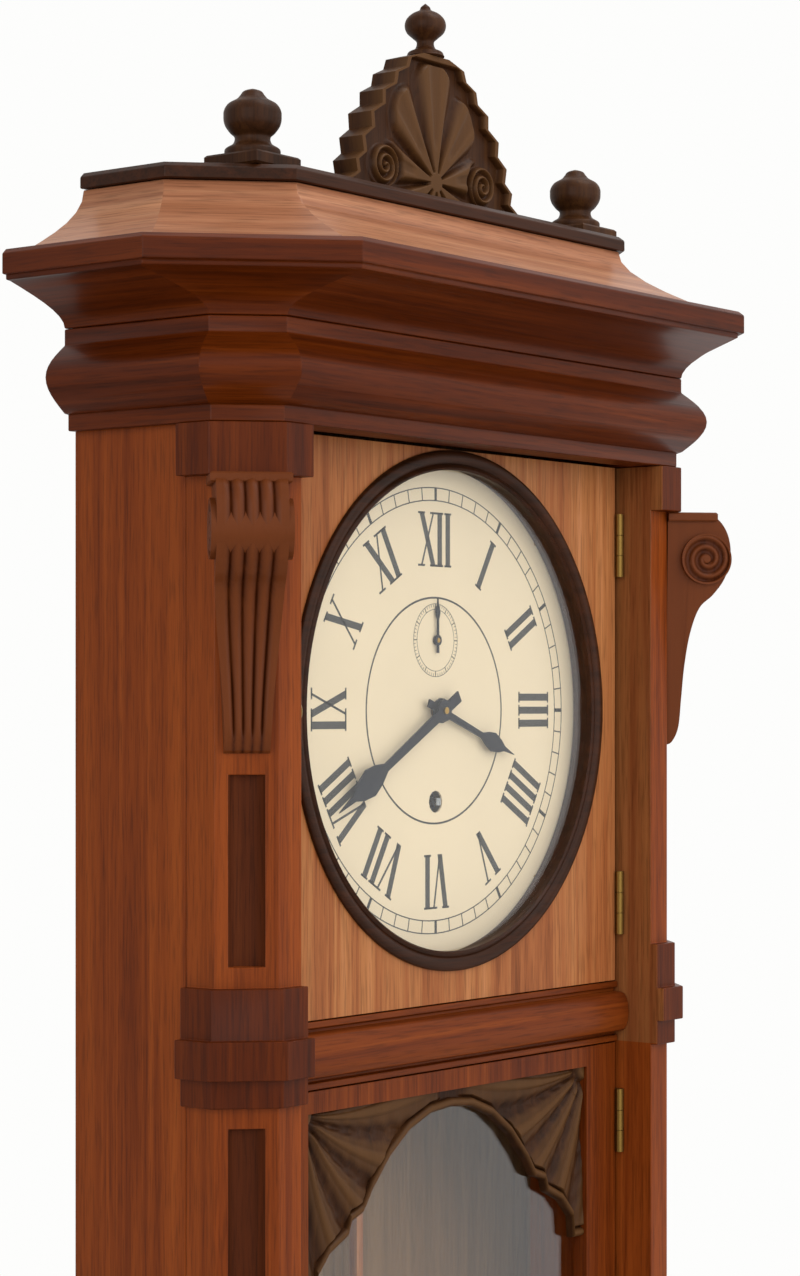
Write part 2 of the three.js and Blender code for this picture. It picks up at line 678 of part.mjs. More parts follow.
// Dial: a shallow enamelled pan on a board behind the posts
const dialPan = { margin: 7.5, thickness: 1.2, rim: 1.6, seconds: 3, centre: 5, winding: 7 };
const panRadius = openingRadius + dialPan.margin;
const dialBoard = { margin: 10, topMargin: 2.5, holeHalf: 42, holeTop: 50, holeBottom: -78, gap: 1.7 };
const dialBoardFront = postBack + fit;
const dialBoardBack = plateFront - dialBoard.gap;
add('dial_board', cut(
  box([-backHalf, dialBoardFront, -panRadius - dialBoard.margin],
    [backHalf, dialBoardBack, panRadius - dialBoard.topMargin]),
  box([-dialBoard.holeHalf, dialBoardFront - overrun, dialBoard.holeBottom],
    [dialBoard.holeHalf, dialBoardBack + overrun, dialBoard.holeTop]),
), pine);

const panBack = dialBoardFront - fit;
add('dial', cut(
  turnedAlongY([
    [0, dialFront], [panRadius, dialFront], [panRadius, panBack],
    [panRadius - dialPan.rim, panBack], [panRadius - dialPan.rim, dialFront + dialPan.thickness],
    [0, dialFront + dialPan.thickness],
  ], dialSegments),
  rod(dialPan.centre, dialFront - overrun, panBack),
  rod(dialPan.seconds, dialFront - overrun, panBack, 0, secondsRise),
  rod(dialPan.winding, dialFront - overrun, panBack, 0, -windingDrop),
), enamel);

// Wheel and pinion counts, with the module of each meshing pair
const gears = {
  great: { teeth: 60, pinion: 10, module: 1.1 },
  intermediate: { teeth: 60, pinion: 8, module: 1.0 },
  centre: { teeth: 64, pinion: 8, module: 0.9 },
  third: { teeth: 60, pinion: 8, module: 0.8 },
  minute: { teeth: 36, pinion: 12, module: 0.75 },
  hour: { teeth: 40, pinion: 10, module: 0.72 },
};
const spread = ({ teeth, pinion, module }) => module * (teeth + pinion) / 2;

// The point at given distances from two others, to one side of the line between them
function apex(p, fromP, q, fromQ, side) {
  const [dx, dz] = [q[0] - p[0], q[1] - p[1]];
  const d = Math.hypot(dx, dz);
  const along = (fromP ** 2 - fromQ ** 2 + d ** 2) / (2 * d);
  const across = side * Math.sqrt(fromP ** 2 - along ** 2);
  return [p[0] + (dx * along - dz * across) / d, p[1] + (dz * along + dx * across) / d];
}

const centreAt = [0, 0];
const escapeAt = [0, secondsRise];
const barrelAt = [0, -windingDrop];
const thirdAt = apex(centreAt, spread(gears.centre), escapeAt, spread(gears.third), -1);
const intermediateAt = apex(centreAt, spread(gears.intermediate), barrelAt, spread(gears.great), -1);
const minuteAngle = -Math.PI / 4;
const minuteAt = [
  spread(gears.minute) * Math.cos(minuteAngle), spread(gears.minute) * Math.sin(minuteAngle)];

const addendum = 0.8;
const dedendum = 1.25;
const wheelTooth = { root: 0.26, tip: 0.12 };
const pinionTooth = { root: 0.2, tip: 0.11 };

// Teeth as trapezoids between the root and tip circles, the first one centred on the phase angle
function toothed(teeth, module, phase, tooth = wheelTooth) {
  const pitchRadius = module * teeth / 2;
  const pitch = 2 * Math.PI / teeth;
  const points = [];
  for (let i = 0; i < teeth; i += 1) {
    const middle = phase + i * pitch;
    for (const [radius, share] of [
      [pitchRadius - dedendum * module, -tooth.root], [pitchRadius + addendum * module, -tooth.tip],
      [pitchRadius + addendum * module, tooth.tip], [pitchRadius - dedendum * module, tooth.root]]) {
      const angle = middle + share * pitch;
      points.push([radius * Math.cos(angle), radius * Math.sin(angle)]);
    }
  }
  return outline(points);
}

// Crossings cut out of a wheel between its hub and rim
function crossings(shape, hub, rim, arms, armWidth) {
  for (let i = 0; i < arms; i += 1) {
    const from = 2 * Math.PI * i / arms;
    const to = 2 * Math.PI * (i + 1) / arms;
    const outerTrim = armWidth / 2 / rim;
    const innerTrim = armWidth / 2 / hub;
    const hole = new THREE.Path();
    hole.absarc(0, 0, rim, from + outerTrim, to - outerTrim, false);
    hole.absarc(0, 0, hub, to - innerTrim, from + innerTrim, true);
    shape.holes.push(hole);
  }
  return shape;
}

// Where a tooth of the driven gear stands so that it meshes with a gear whose phase is known
const lineAngle = (from, to) => Math.atan2(to[1] - from[1], to[0] - from[0]);
const meshed = (phase, teeth, line, otherTeeth) =>
  line + Math.PI + (line - phase) * teeth / otherTeeth + Math.PI / otherTeeth;

const hubRadius = 6;
const rimWidth = 3.4;
const armWidth = 3;
const pivotRadius = 1.5;
const pivotHole = pivotRadius + fit;
const arborRadius = 2.2;
const wheelSegments = 4;

function wheelBlank(teeth, module, phase, back, front, arms = 5) {
  const rim = module * teeth / 2 - dedendum * module - rimWidth;
  const shape = crossings(toothed(teeth, module, phase), hubRadius, rim, arms, armWidth);
  return upright(shape, back, front, wheelSegments);
}

const pinionBlank = (teeth, module, phase, back, front) =>
  upright(toothed(teeth, module, phase, pinionTooth), back, front);

// Phases, worked out from the centre wheel along each meshing line
const centrePhase = 0;
const thirdPinionPhase = meshed(centrePhase, gears.centre.teeth, lineAngle(centreAt, thirdAt),
  gears.centre.pinion);
const escapePinionPhase = meshed(0, gears.third.teeth, lineAngle(thirdAt, escapeAt), gears.third.pinion);
const centrePinionPhase = 0;
const intermediatePhase = meshed(centrePinionPhase, gears.intermediate.pinion,
  lineAngle(centreAt, intermediateAt), gears.intermediate.teeth);
const barrelPhase = meshed(0, gears.great.pinion, lineAngle(intermediateAt, barrelAt), gears.great.teeth);
const minutePhase = meshed(0, gears.minute.pinion, lineAngle(centreAt, minuteAt), gears.minute.teeth);
const hourPhase = meshed(0, gears.hour.pinion, lineAngle(minuteAt, centreAt), gears.hour.teeth);

// Plates, with the four pillars riveted to the back one
const pillar = { radius: 3.2, insetX: 8, insetZ: 9 };
const platePoints = [
  [-plate.halfWidth + plate.corner, plate.bottom], [plate.halfWidth - plate.corner, plate.bottom],
  [plate.halfWidth, plate.bottom + plate.corner], [plate.halfWidth, plate.top - plate.corner],
  [plate.halfWidth - plate.corner, plate.top], [-plate.halfWidth + plate.corner, plate.top],
  [-plate.halfWidth, plate.top - plate.corner], [-plate.halfWidth, plate.bottom + plate.corner],
];

// The anchor rocks about the pendulum's axis, over the escape wheel, with its pallets struck from it
const anchorAt = [0, pendulumAxis];
const palletRadius = escape.radius * Math.tan(halfSpan);
const pallet = { thickness: 0.9, clearShare: 0.6 / 180, impulseShare: 1.2 / 180, tailShare: 16 / 180 };
const barrelArborRadius = 3;

const bearings = [
  [thirdAt, pivotHole], [escapeAt, pivotHole], [intermediateAt, pivotHole], [anchorAt, pivotHole],
  [barrelAt, barrelArborRadius + fit],
];
const boring = (list, from, to) =>
  list.map(([[x, z], radius]) => rod(radius, from - overrun, to + overrun, x, z));

const click = { across: 23, rise: 17, boss: 4.2, tipAngle: Math.PI / 3, studRadius: 1.8, studLength: 4.5 };
const clickAt = [click.across, click.rise - windingDrop];
add('front_plate', join(
  cut(upright(outline(platePoints), frontPlateBack, plateFront),
    ...boring([...bearings, [centreAt, arborRadius + fit]], plateFront, frontPlateBack)),
  rod(click.studRadius, plateFront - click.studLength, plateFront + plate.thickness / 2, ...clickAt),
), brass);

const pillarX = plate.halfWidth - pillar.insetX;
const pillarZ = [plate.bottom + pillar.insetZ, plate.top - pillar.insetZ];
const pillars = [-pillarX, pillarX].flatMap((x) => pillarZ.map((z) =>
  rod(pillar.radius, frontPlateBack + fit, plateBack + plate.thickness / 2, x, z)));
add('back_plate', join(
  cut(upright(outline(platePoints), backPlateRear, plateBack),
    ...boring([...bearings, [centreAt, pivotHole]], plateBack, backPlateRear)),
  ...pillars,
), brass);

// Bracket: a channel on the backboard that carries the back plate and leaves room for the rod
const bracket = { half: 52, height: 120, web: 2.7, cheek: 3 };
const bracketBack = -backThickness - fit;
add('movement_bracket', cut(
  box([-bracket.half, backPlateRear + fit, -bracket.height / 2],
    [bracket.half, bracketBack, bracket.height / 2]),
  box([-bracket.half + bracket.cheek, backPlateRear - overrun, -bracket.height / 2 - overrun],
    [bracket.half - bracket.cheek, bracketBack - bracket.web, bracket.height / 2 + overrun]),
), iron);

// Going barrel and its great wheel, winding arbor with ratchet, and the click
const greatShares = { front: 0.045, back: 0.12, drumBack: 0.675 };
const greatFront = between(greatShares.front);
const greatBack = between(greatShares.back);
const drumRadius = 26;
const drumSegments = 32;
const drumBack = between(greatShares.drumBack);
add('mainspring_barrel', cut(
  join(
    upright(toothed(gears.great.teeth, gears.great.module, barrelPhase), greatBack, greatFront)
      .translate(barrelAt[0], 0, barrelAt[1]),
    rod(drumRadius, (greatFront + greatBack) / 2, drumBack, ...barrelAt, drumSegments),
  ),
  rod(barrelArborRadius + fit, greatFront - overrun, drumBack + overrun, ...barrelAt),
), brass);

const ratchet = { teeth: 24, radius: 14, depth: 2.2, thickness: 2, gap: 1.5, undercut: 0.12 };
const ratchetBack = plateFront - ratchet.gap;
const ratchetFront = ratchetBack - ratchet.thickness;
function ratchetShape() {
  const pitch = 2 * Math.PI / ratchet.teeth;
  const points = Array.from({ length: ratchet.teeth }, (_, i) => [
    [ratchet.radius * Math.cos(i * pitch), ratchet.radius * Math.sin(i * pitch)],
    [(ratchet.radius - ratchet.depth) * Math.cos((i + ratchet.undercut) * pitch),
      (ratchet.radius - ratchet.depth) * Math.sin((i + ratchet.undercut) * pitch)],
  ]).flat();
  return outline(points);
}
const square = { half: 2.2, proud: 2.4 };
add('winding_arbor', join(
  rod(barrelArborRadius, ratchetFront, backPlateRear - fit, ...barrelAt),
  upright(ratchetShape(), ratchetBack, ratchetFront).translate(barrelAt[0], 0, barrelAt[1]),
  box([barrelAt[0] - square.half, dialFront - square.proud, barrelAt[1] - square.half],
    [barrelAt[0] + square.half, ratchetFront + ratchet.thickness / 2, barrelAt[1] + square.half]),
), steel);

const tipRadius = ratchet.radius + fit;
const clickTip = [
  barrelAt[0] + tipRadius * Math.cos(click.tipAngle), barrelAt[1] + tipRadius * Math.sin(click.tipAngle)];
const heelShares = { across: 0.6, rise: 0.7 };
const heelX = clickAt[0] - click.boss * heelShares.across;
const clickHeel = [heelX, clickAt[1] + click.boss * heelShares.rise];
const clickToe = [heelX, clickAt[1] - click.boss * heelShares.rise];
add('click', cut(
  join(
    upright(outline([clickHeel, clickTip, clickToe]), ratchetBack, ratchetFront),
    rod(click.boss, ratchetFront, ratchetBack, ...clickAt),
  ),
  rod(click.studRadius + fit, ratchetFront - overrun, ratchetBack + overrun, ...clickAt),
), steel);

// The train: each arbor carries a wheel and the pinion that the wheel before it drives
const shaftFront = frontPlateBack + plate.endShake;
const shaftBack = plateBack - plate.endShake;
function arborWithWheel(name, at, wheelPiece, pinionPiece) {
  const shaft = rod(arborRadius, shaftFront, shaftBack);
  const pivots = rod(pivotRadius, plateFront, backPlateRear);
  add(name, join(wheelPiece, pinionPiece, shaft, pivots).translate(at[0], 0, at[1]), brass);
}
const wheelShares = {
  intermediate: { back: 0.82, front: 0.76 },
  centre: { back: 0.3, front: 0.24 },
  third: { back: 0.44, front: 0.39 },
  escape: { back: 0.62, front: 0.57 },
  centrePinion: { back: 0.91, front: 0.7 },
  pinionEnd: 0.03,
};
const wheelAt = (share) => [between(share.back), between(share.front)];
const pinionOver = (share) =>
  [between(share.back + wheelShares.pinionEnd), between(share.front - wheelShares.pinionEnd)];

arborWithWheel('intermediate_wheel', intermediateAt,
  wheelBlank(gears.intermediate.teeth, gears.intermediate.module, intermediatePhase,
    ...wheelAt(wheelShares.intermediate)),
  pinionBlank(gears.great.pinion, gears.great.module, 0, ...pinionOver(greatShares)));

arborWithWheel('third_wheel', thirdAt,
  wheelBlank(gears.third.teeth, gears.third.module, 0, ...wheelAt(wheelShares.third)),
  pinionBlank(gears.centre.pinion, gears.centre.module, thirdPinionPhase,
    ...pinionOver(wheelShares.centre)));

// Centre arbor: it runs on through the front plate as the cannon that carries the minute hand
const cannon = { radius: arborRadius, proud: 9, pinionLength: 4 };
const cannonFront = dialFront - cannon.proud;
const cannonPinionBack = plateFront - plate.endShake;
const cannonPinionFront = plateFront - cannon.pinionLength;
add('centre_wheel', join(
  wheelBlank(gears.centre.teeth, gears.centre.module, centrePhase, ...wheelAt(wheelShares.centre)),
  pinionBlank(gears.intermediate.pinion, gears.intermediate.module, centrePinionPhase,
    ...wheelAt(wheelShares.centrePinion)),
  rod(cannon.radius, cannonFront, shaftBack),
  pinionBlank(gears.minute.pinion, gears.minute.module, 0, cannonPinionBack, cannonPinionFront),
  rod(pivotRadius, shaftBack - overrun, backPlateRear),
), brass);

// Escape wheel: slender teeth undercut on the side that meets the pallets
const escapeShares = { tip: 0.045, lead: 0.12, trail: 0.3 };
const escapeArms = 4;
const entryAngle = Math.PI / 2 + halfSpan;
const escapePhase = entryAngle + escape.drop / escape.radius + escapeShares.tip * toothPitch;
function escapeShape() {
  const root = escape.radius - escape.depth;
  const points = [];
  for (let i = 0; i < escape.teeth; i += 1) {
    const middle = escapePhase + i * toothPitch;
    for (const [radius, share] of [
      [root, escapeShares.lead], [escape.radius, -escapeShares.tip], [escape.radius, escapeShares.tip],
      [root, escapeShares.trail]]) {
      points.push([radius * Math.cos(middle + share * toothPitch),
        radius * Math.sin(middle + share * toothPitch)]);
    }
  }
  return crossings(outline(points), hubRadius, root - rimWidth, escapeArms, armWidth);
}
const secondsProud = 2.6;
const secondsFront = dialFront - secondsProud;
const [escapeBack, escapeFront] = wheelAt(wheelShares.escape);
const [escapePinionBack, escapePinionFront] = pinionOver(wheelShares.third);
add('escape_wheel', join(
  upright(escapeShape(), escapeBack, escapeFront, wheelSegments),
  pinionBlank(gears.third.pinion, gears.third.module, escapePinionPhase, escapePinionBack,
    escapePinionFront),
  rod(arborRadius, escapePinionFront, shaftBack),
  rod(pivotRadius, secondsFront, backPlateRear),
).translate(escapeAt[0], 0, escapeAt[1]), brass);

// Motion work between the front plate and the dial
const minuteWheelBack = cannonPinionBack - fit;
const hourBack = cannonPinionFront - plate.endShake;
const motionThick = 1.6;
const minuteStud = 1.4;
add('minute_wheel', cut(join(
  upright(toothed(gears.minute.teeth, gears.minute.module, minutePhase), minuteWheelBack,
    minuteWheelBack - motionThick),
  pinionBlank(gears.hour.pinion, gears.hour.module, 0, minuteWheelBack, hourBack - motionThick - fit),
), rod(minuteStud + fit, dialFront, plateFront)).translate(minuteAt[0], 0, minuteAt[1]), brass);

const pipe = { outer: 3.8, inner: cannon.radius + 2 * fit, proud: 5 };
const pipeFront = dialFront - pipe.proud;
add('hour_wheel', cut(
  join(
    upright(toothed(gears.hour.teeth, gears.hour.module, hourPhase), hourBack, hourBack - motionThick),
    rod(pipe.outer, pipeFront, hourBack - motionThick / 2),
  ),
  rod(pipe.inner, pipeFront - overrun, hourBack + overrun),
), brass);

// Anchor: two pallets struck from its axis, an arbor between the plates, and the crutch behind
function palletShape(inner, outer, tipInner, tipOuter, tail) {
  const shape = new THREE.Shape();
  const clockwise = tipOuter > tail;
  shape.absarc(0, 0, outer, tail, tipOuter, !clockwise);
  shape.absarc(0, 0, inner, tipInner, tail, clockwise);
  return shape;
}
const clear = pallet.clearShare * Math.PI;
const impulse = pallet.impulseShare * Math.PI;
const tail = pallet.tailShare * Math.PI;
const entryDirection = Math.PI + halfSpan;
const exitDirection = -halfSpan;
const entryPallet = palletShape(palletRadius - pallet.thickness, palletRadius,
  entryDirection - clear, entryDirection - clear - impulse, entryDirection - tail);
const exitPallet = palletShape(palletRadius, palletRadius + pallet.thickness,
  exitDirection + clear + impulse, exitDirection + clear, exitDirection + tail);
const anchor = { hub: 4.5, armHalf: 1.6, frontShare: 0.52, backShare: 0.66 };
function anchorArm(direction) {
  const along = [Math.cos(direction), Math.sin(direction)];
  const across = [-along[1] * anchor.armHalf, along[0] * anchor.armHalf];
  const reach = palletRadius;
  return outline([
    [across[0], across[1]], [-across[0], -across[1]],
    [along[0] * reach - across[0], along[1] * reach - across[1]],
    [along[0] * reach + across[0], along[1] * reach + across[1]],
  ]);
}
const anchorFront = between(anchor.frontShare);
const anchorBack = between(anchor.backShare);
const palletSegments = 8;
const armShare = 13.5 / 180;
const rodSection = { halfWidth: 3, halfDepth: 3 };
const rodY = inside(depthShares.pendulum);
const crutch = { halfWidth: 2, thickness: 1.6, foot: 64, footHeight: 4, prong: 3 };
const crutchBack = backPlateRear + plate.endShake + crutch.thickness;
const crutchLow = -crutch.foot;
const prongInner = rodSection.halfWidth + fit;
add('anchor', join(
  upright(entryPallet, anchorBack, anchorFront, palletSegments),
  upright(exitPallet, anchorBack, anchorFront, palletSegments),
  upright(anchorArm(entryDirection - armShare * Math.PI), anchorBack, anchorFront),
  upright(anchorArm(exitDirection + armShare * Math.PI), anchorBack, anchorFront),
  rod(anchor.hub, anchorFront, anchorBack),
  rod(pivotRadius, plateFront, crutchBack),
  rod(arborRadius, shaftFront, shaftBack),
  box([-crutch.halfWidth, crutchBack - crutch.thickness, crutchLow],
    [crutch.halfWidth, crutchBack, crutch.halfWidth]),
  box([-prongInner - crutch.prong, crutchBack - crutch.thickness, crutchLow - crutch.footHeight],
    [prongInner + crutch.prong, crutchBack, crutchLow]),
  box([-prongInner - crutch.prong, crutchBack - overrun, crutchLow - crutch.footHeight],
    [-prongInner, rodY + rodSection.halfDepth, crutchLow]),
  box([prongInner, crutchBack - overrun, crutchLow - crutch.footHeight],
    [prongInner + crutch.prong, rodY + rodSection.halfDepth, crutchLow]),
).translate(anchorAt[0], 0, anchorAt[1]), steel);

// Pendulum cock on the back plate, with the upper chops of the suspension
const cock = { footHalf: 9, footLow: 6, footHigh: 15, armHalf: 4, tongueHalf: 1.8, tongueDepth: 4 };
const cockFront = backPlateRear + fit;
add('pendulum_cock', join(
  box([-cock.footHalf, cockFront, cock.footLow], [cock.footHalf, cockFront + cock.armHalf, cock.footHigh]),
  box([-cock.armHalf, cockFront + overrun, cock.footLow + overrun],
    [cock.armHalf, rodY + cock.tongueDepth, cock.footHigh - overrun]),
  box([-cock.tongueHalf, rodY - cock.tongueDepth, fit],
    [cock.tongueHalf, rodY + cock.tongueDepth, cock.footLow + 2 * overrun]),
).translate(anchorAt[0], 0, anchorAt[1]), brass);

// Pendulum: suspension spring, wooden rod, lens bob and rating nut
const bob = { radius: 52, wallGap: 2.8, edge: 3, screwLead: 12 };
const bobThickness = 2 * (-rodY - backThickness - bob.wallGap);
const nut = { radius: 10, height: 8 };
const nutSegments = 20;
add('suspension_spring', box(
  [-pendulum.springHalf, rodY - pendulum.springDepth, pendulumAxis - pendulum.springLength],
  [pendulum.springHalf, rodY + pendulum.springDepth, pendulumAxis],
), steel);

const rodTop = pendulumAxis - pendulum.springLength - fit;
const bobCentre = pendulumAxis - pendulum.length;
const screwTop = bobCentre - bob.radius + bob.screwLead;
const screwRadius = 2.2;
add('pendulum_rod', join(
  box([-rodSection.halfWidth, rodY - rodSection.halfDepth, screwTop],
    [rodSection.halfWidth, rodY + rodSection.halfDepth, rodTop]),
  post(screwRadius, rodBottom, screwTop + overrun, 0, rodY),
), lightWalnut);

const lensSteps = 5;
const lensSegments = 28;
const lensHalf = Array.from({ length: lensSteps + 1 }, (_, i) => {
  const t = i / lensSteps;
  const bulge = bob.edge / 2 + (bobThickness - bob.edge) / 2 * (1 - t * t);
  return [bob.radius * t, bulge];
});
const lensProfile = [...lensHalf.map(([r, y]) => [r, -y]), ...lensHalf.reverse()];
add('pendulum_bob', cut(
  turnedAlongY(lensProfile, lensSegments).translate(0, rodY, bobCentre),
  box([-rodSection.halfWidth - fit, rodY - rodSection.halfDepth - fit, screwTop - fit],
    [rodSection.halfWidth + fit, rodY + rodSection.halfDepth + fit,
      bobCentre + bob.radius + overrun]),
  post(screwRadius + fit, bobCentre - bob.radius - overrun, screwTop, 0, rodY),
), brass);

const nutTop = bobCentre - bob.radius - fit;
add('rating_nut', cut(
  post(nut.radius, nutTop - nut.height, nutTop, 0, rodY, nutSegments),
  post(screwRadius + fit, nutTop - nut.height - overrun, nutTop + overrun, 0, rodY),
), brass);

// Beat scale on the backboard behind the pendulum's tip
const scale = { half: 40, height: 16, thickness: 2 };
add('beat_scale', box(
  [-scale.half, -backThickness - fit - scale.thickness, rodBottom - fit - scale.height],
  [scale.half, -backThickness - fit, rodBottom - fit],
), brass);

// Hands, at twenty minutes to four
const hands = {
  minute: { length: 122, tail: 18, collet: 7 },
  hour: { length: 84, tail: 14, collet: 8 },
  seconds: { length: 26, tail: 8, collet: 3.4 },
};
const handThick = 1.2;
const handSeat = { minute: 2.6, seconds: 1.4 };
const handBack = {
  minute: cannonFront + handSeat.minute,
  hour: pipeFront + handThick,
  seconds: secondsFront + handSeat.seconds,
};
const minuteTurn = -240;
const hourTurn = -110;
const spadeShares = [
  [0.03, 0], [0.022, 0.62], [0.055, 0.68], [0.075, 0.75], [0.05, 0.83], [0.018, 0.88], [0, 1],
];
function handPiece({ length, tail, collet }, turn, bore, back) {
  const half = spadeShares.map(([u, v]) => [u * length, v * (length + tail) - tail]);
  const mirrored = half.slice(0, -1).map(([x, z]) => [-x, z]).reverse();
  const front = back - handThick;
  return cut(
    join(upright(outline([...half, ...mirrored]), back, front), rod(collet, front, back)),
    rod(bore, front - overrun, back + overrun),
  ).rotateY(-turn * Math.PI / 180);
}
add('hour_hand', handPiece(hands.hour, hourTurn, pipe.outer + fit, handBack.hour), bluedSteel);
add('minute_hand', handPiece(hands.minute, minuteTurn, cannon.radius + fit, handBack.minute), bluedSteel);
add('seconds_hand', handPiece(hands.seconds, 0, pivotRadius + fit, handBack.seconds)
  .translate(escapeAt[0], 0, escapeAt[1]), bluedSteel);

export default clock;
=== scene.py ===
# %% [markdown]
# # A regulator wall clock
#
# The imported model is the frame: it gives every piece its size, its place and the body that it moves
# with. Here each piece gets the surface that a cabinet maker, a turner, a carver or a clockmaker
# would have left on it. Where a CAD solid already has the right shape it only gets a finish, or a
# copy with eased edges. Turned, printed and carved work is made anew as surfaces worked out with
# numpy, because those have curves that a light solid leaves out.

import json
import math

import bmesh
import bpy
import numpy as np
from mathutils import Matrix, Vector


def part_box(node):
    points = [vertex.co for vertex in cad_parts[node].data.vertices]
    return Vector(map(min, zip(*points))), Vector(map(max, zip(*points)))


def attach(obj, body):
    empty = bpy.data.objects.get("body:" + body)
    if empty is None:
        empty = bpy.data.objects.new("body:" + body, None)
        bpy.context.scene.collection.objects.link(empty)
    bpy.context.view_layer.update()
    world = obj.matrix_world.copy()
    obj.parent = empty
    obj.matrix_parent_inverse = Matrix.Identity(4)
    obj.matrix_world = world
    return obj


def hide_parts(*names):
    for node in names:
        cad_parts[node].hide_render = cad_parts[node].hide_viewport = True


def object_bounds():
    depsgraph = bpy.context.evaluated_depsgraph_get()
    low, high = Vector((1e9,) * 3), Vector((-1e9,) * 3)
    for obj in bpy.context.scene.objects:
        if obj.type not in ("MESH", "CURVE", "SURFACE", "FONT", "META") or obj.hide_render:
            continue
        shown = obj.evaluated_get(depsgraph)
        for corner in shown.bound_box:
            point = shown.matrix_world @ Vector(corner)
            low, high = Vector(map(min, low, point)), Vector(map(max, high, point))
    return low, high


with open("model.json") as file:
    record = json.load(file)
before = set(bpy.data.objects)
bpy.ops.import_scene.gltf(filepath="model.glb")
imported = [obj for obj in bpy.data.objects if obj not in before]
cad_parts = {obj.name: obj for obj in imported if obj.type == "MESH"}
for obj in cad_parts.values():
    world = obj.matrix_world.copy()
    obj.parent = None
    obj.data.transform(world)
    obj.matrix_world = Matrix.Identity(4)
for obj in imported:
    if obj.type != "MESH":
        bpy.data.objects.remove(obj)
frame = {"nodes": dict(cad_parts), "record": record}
cad_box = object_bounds()
MM = 0.001
bodies = frame["record"]["behaviour"]["bodies"]
BODY_OF = {node: body for body, nodes in bodies.items() for node in nodes}

# %% [markdown]
# ## The camera
#
# The photograph was taken from the clock's left, level with the lower half of the dial, from under
# two metres away. A long lens with a small upward shift keeps the uprights parallel, as they are
# in the photograph, where tilting the camera would make them lean.

# %% Place the camera
IMAGE_HEIGHT = 1276
FOCAL_PIXELS = 3000
HORIZON_PIXELS = 701
SENSOR = 36
CAMERA_AZIMUTH = math.radians(-52.7)
CAMERA_PLACE = (-1.5064, -1.2106, 0.006)

camera = bpy.data.objects.new("camera", bpy.data.cameras.new("camera"))
bpy.context.scene.collection.objects.link(camera)
camera.location = CAMERA_PLACE
camera.rotation_euler = (math.pi / 2, 0, CAMERA_AZIMUTH)
camera.data.sensor_width = SENSOR
camera.data.lens = FOCAL_PIXELS / IMAGE_HEIGHT * SENSOR
camera.data.shift_y = (HORIZON_PIXELS - IMAGE_HEIGHT / 2) / IMAGE_HEIGHT
bpy.context.scene.camera = camera
bpy.context.scene.view_settings.view_transform = "Standard"
print("lens", round(camera.data.lens, 1), "shift", round(camera.data.shift_y, 4))

# %% [markdown]
# ## Nodes and colours
#
# Each finish is a small tree of shader nodes. One helper adds a node, sets it and links it, so a
# material reads from top to bottom like a recipe. Colours are written as they look on a screen and
# turned to the linear values that the renderer adds light in.


# %% Helpers for materials
def linear(hex_colour):
    """An sRGB hex colour as linear RGBA: each channel goes through the sRGB curve."""
    channels = [int(hex_colour[i:i + 2], 16) / 255 for i in (1, 3, 5)]
    return [c / 12.92 if c <= 0.04045 else ((c + 0.055) / 1.055) ** 2.4 for c in channels] + [1.0]


def add_node(tree, kind, inputs=None, **settings):
    """Adds a node, sets its properties, and sets or links its input sockets."""
    node = tree.nodes.new(kind)
    for name, value in settings.items():
        setattr(node, name, value)
    for socket, value in (inputs or {}).items():
        if isinstance(value, bpy.types.NodeSocket):
            tree.links.new(value, node.inputs[socket])
        else:
            node.inputs[socket].default_value = value
    return node


def new_material(name):
    """An empty material: its tree and its Principled shader."""
    material = bpy.data.materials.new(name)
    material.use_nodes = True
    tree = material.node_tree
    return material, tree, tree.nodes["Principled BSDF"]


def colour_ramp(tree, factor, stops):
    """A ramp from (position, hex colour) pairs."""
    ramp = add_node(tree, "ShaderNodeValToRGB", {"Fac": factor})
    elements = ramp.color_ramp.elements
    while len(elements) < len(stops):
        elements.new(0.5)
    for element, (position, colour) in zip(elements, stops):
        element.position = position
        element.color = linear(colour)
    return ramp.outputs["Color"]


# %% [markdown]
# ## Varnished walnut
#
# The case is red-brown walnut under old varnish. Sawn along the trunk it shows long dark lines
# where the year rings are cut, short dark pores between them, and slow changes of tone from board
# to board. All three are noise stretched along the grain, so one recipe serves every board once it
# is told which way the board's grain runs. The varnish is a thin clear coat over a rougher wood,
# which gives a soft sheen and no sharp mirror.

# %% Which way the grain runs
RING_WIDTH = 9 * MM
RING_LENGTH = 420 * MM
# Real pores are about 0.2 mm wide and 3 mm long. They are drawn coarser, because they would be lost.
PORE_WIDTH = 1.3 * MM
PORE_LENGTH = 26 * MM
TONE_WIDTH = 120 * MM
EIGHTH_TURN = math.pi / 4
# The axis that the grain follows, and the turn about the upright that brings that axis onto it
GRAIN = {"X": (0, 0), "Y": (1, 0), "Z": (2, 0),
         "left_cant": (0, -EIGHTH_TURN), "right_cant": (0, EIGHTH_TURN)}


def stretched(tree, coordinates, along, width, length):
    """Coordinates in units of the pattern's width across the grain and its length along it."""
    axis, turn = GRAIN[along]
    scale = [width] * 3
    scale[axis] = length
    mapping = add_node(tree, "ShaderNodeMapping", {
        "Vector": coordinates, "Rotation": (0, 0, turn), "Scale": scale}, vector_type="TEXTURE")
    return mapping.outputs["Vector"]


print("grain directions", len(GRAIN))


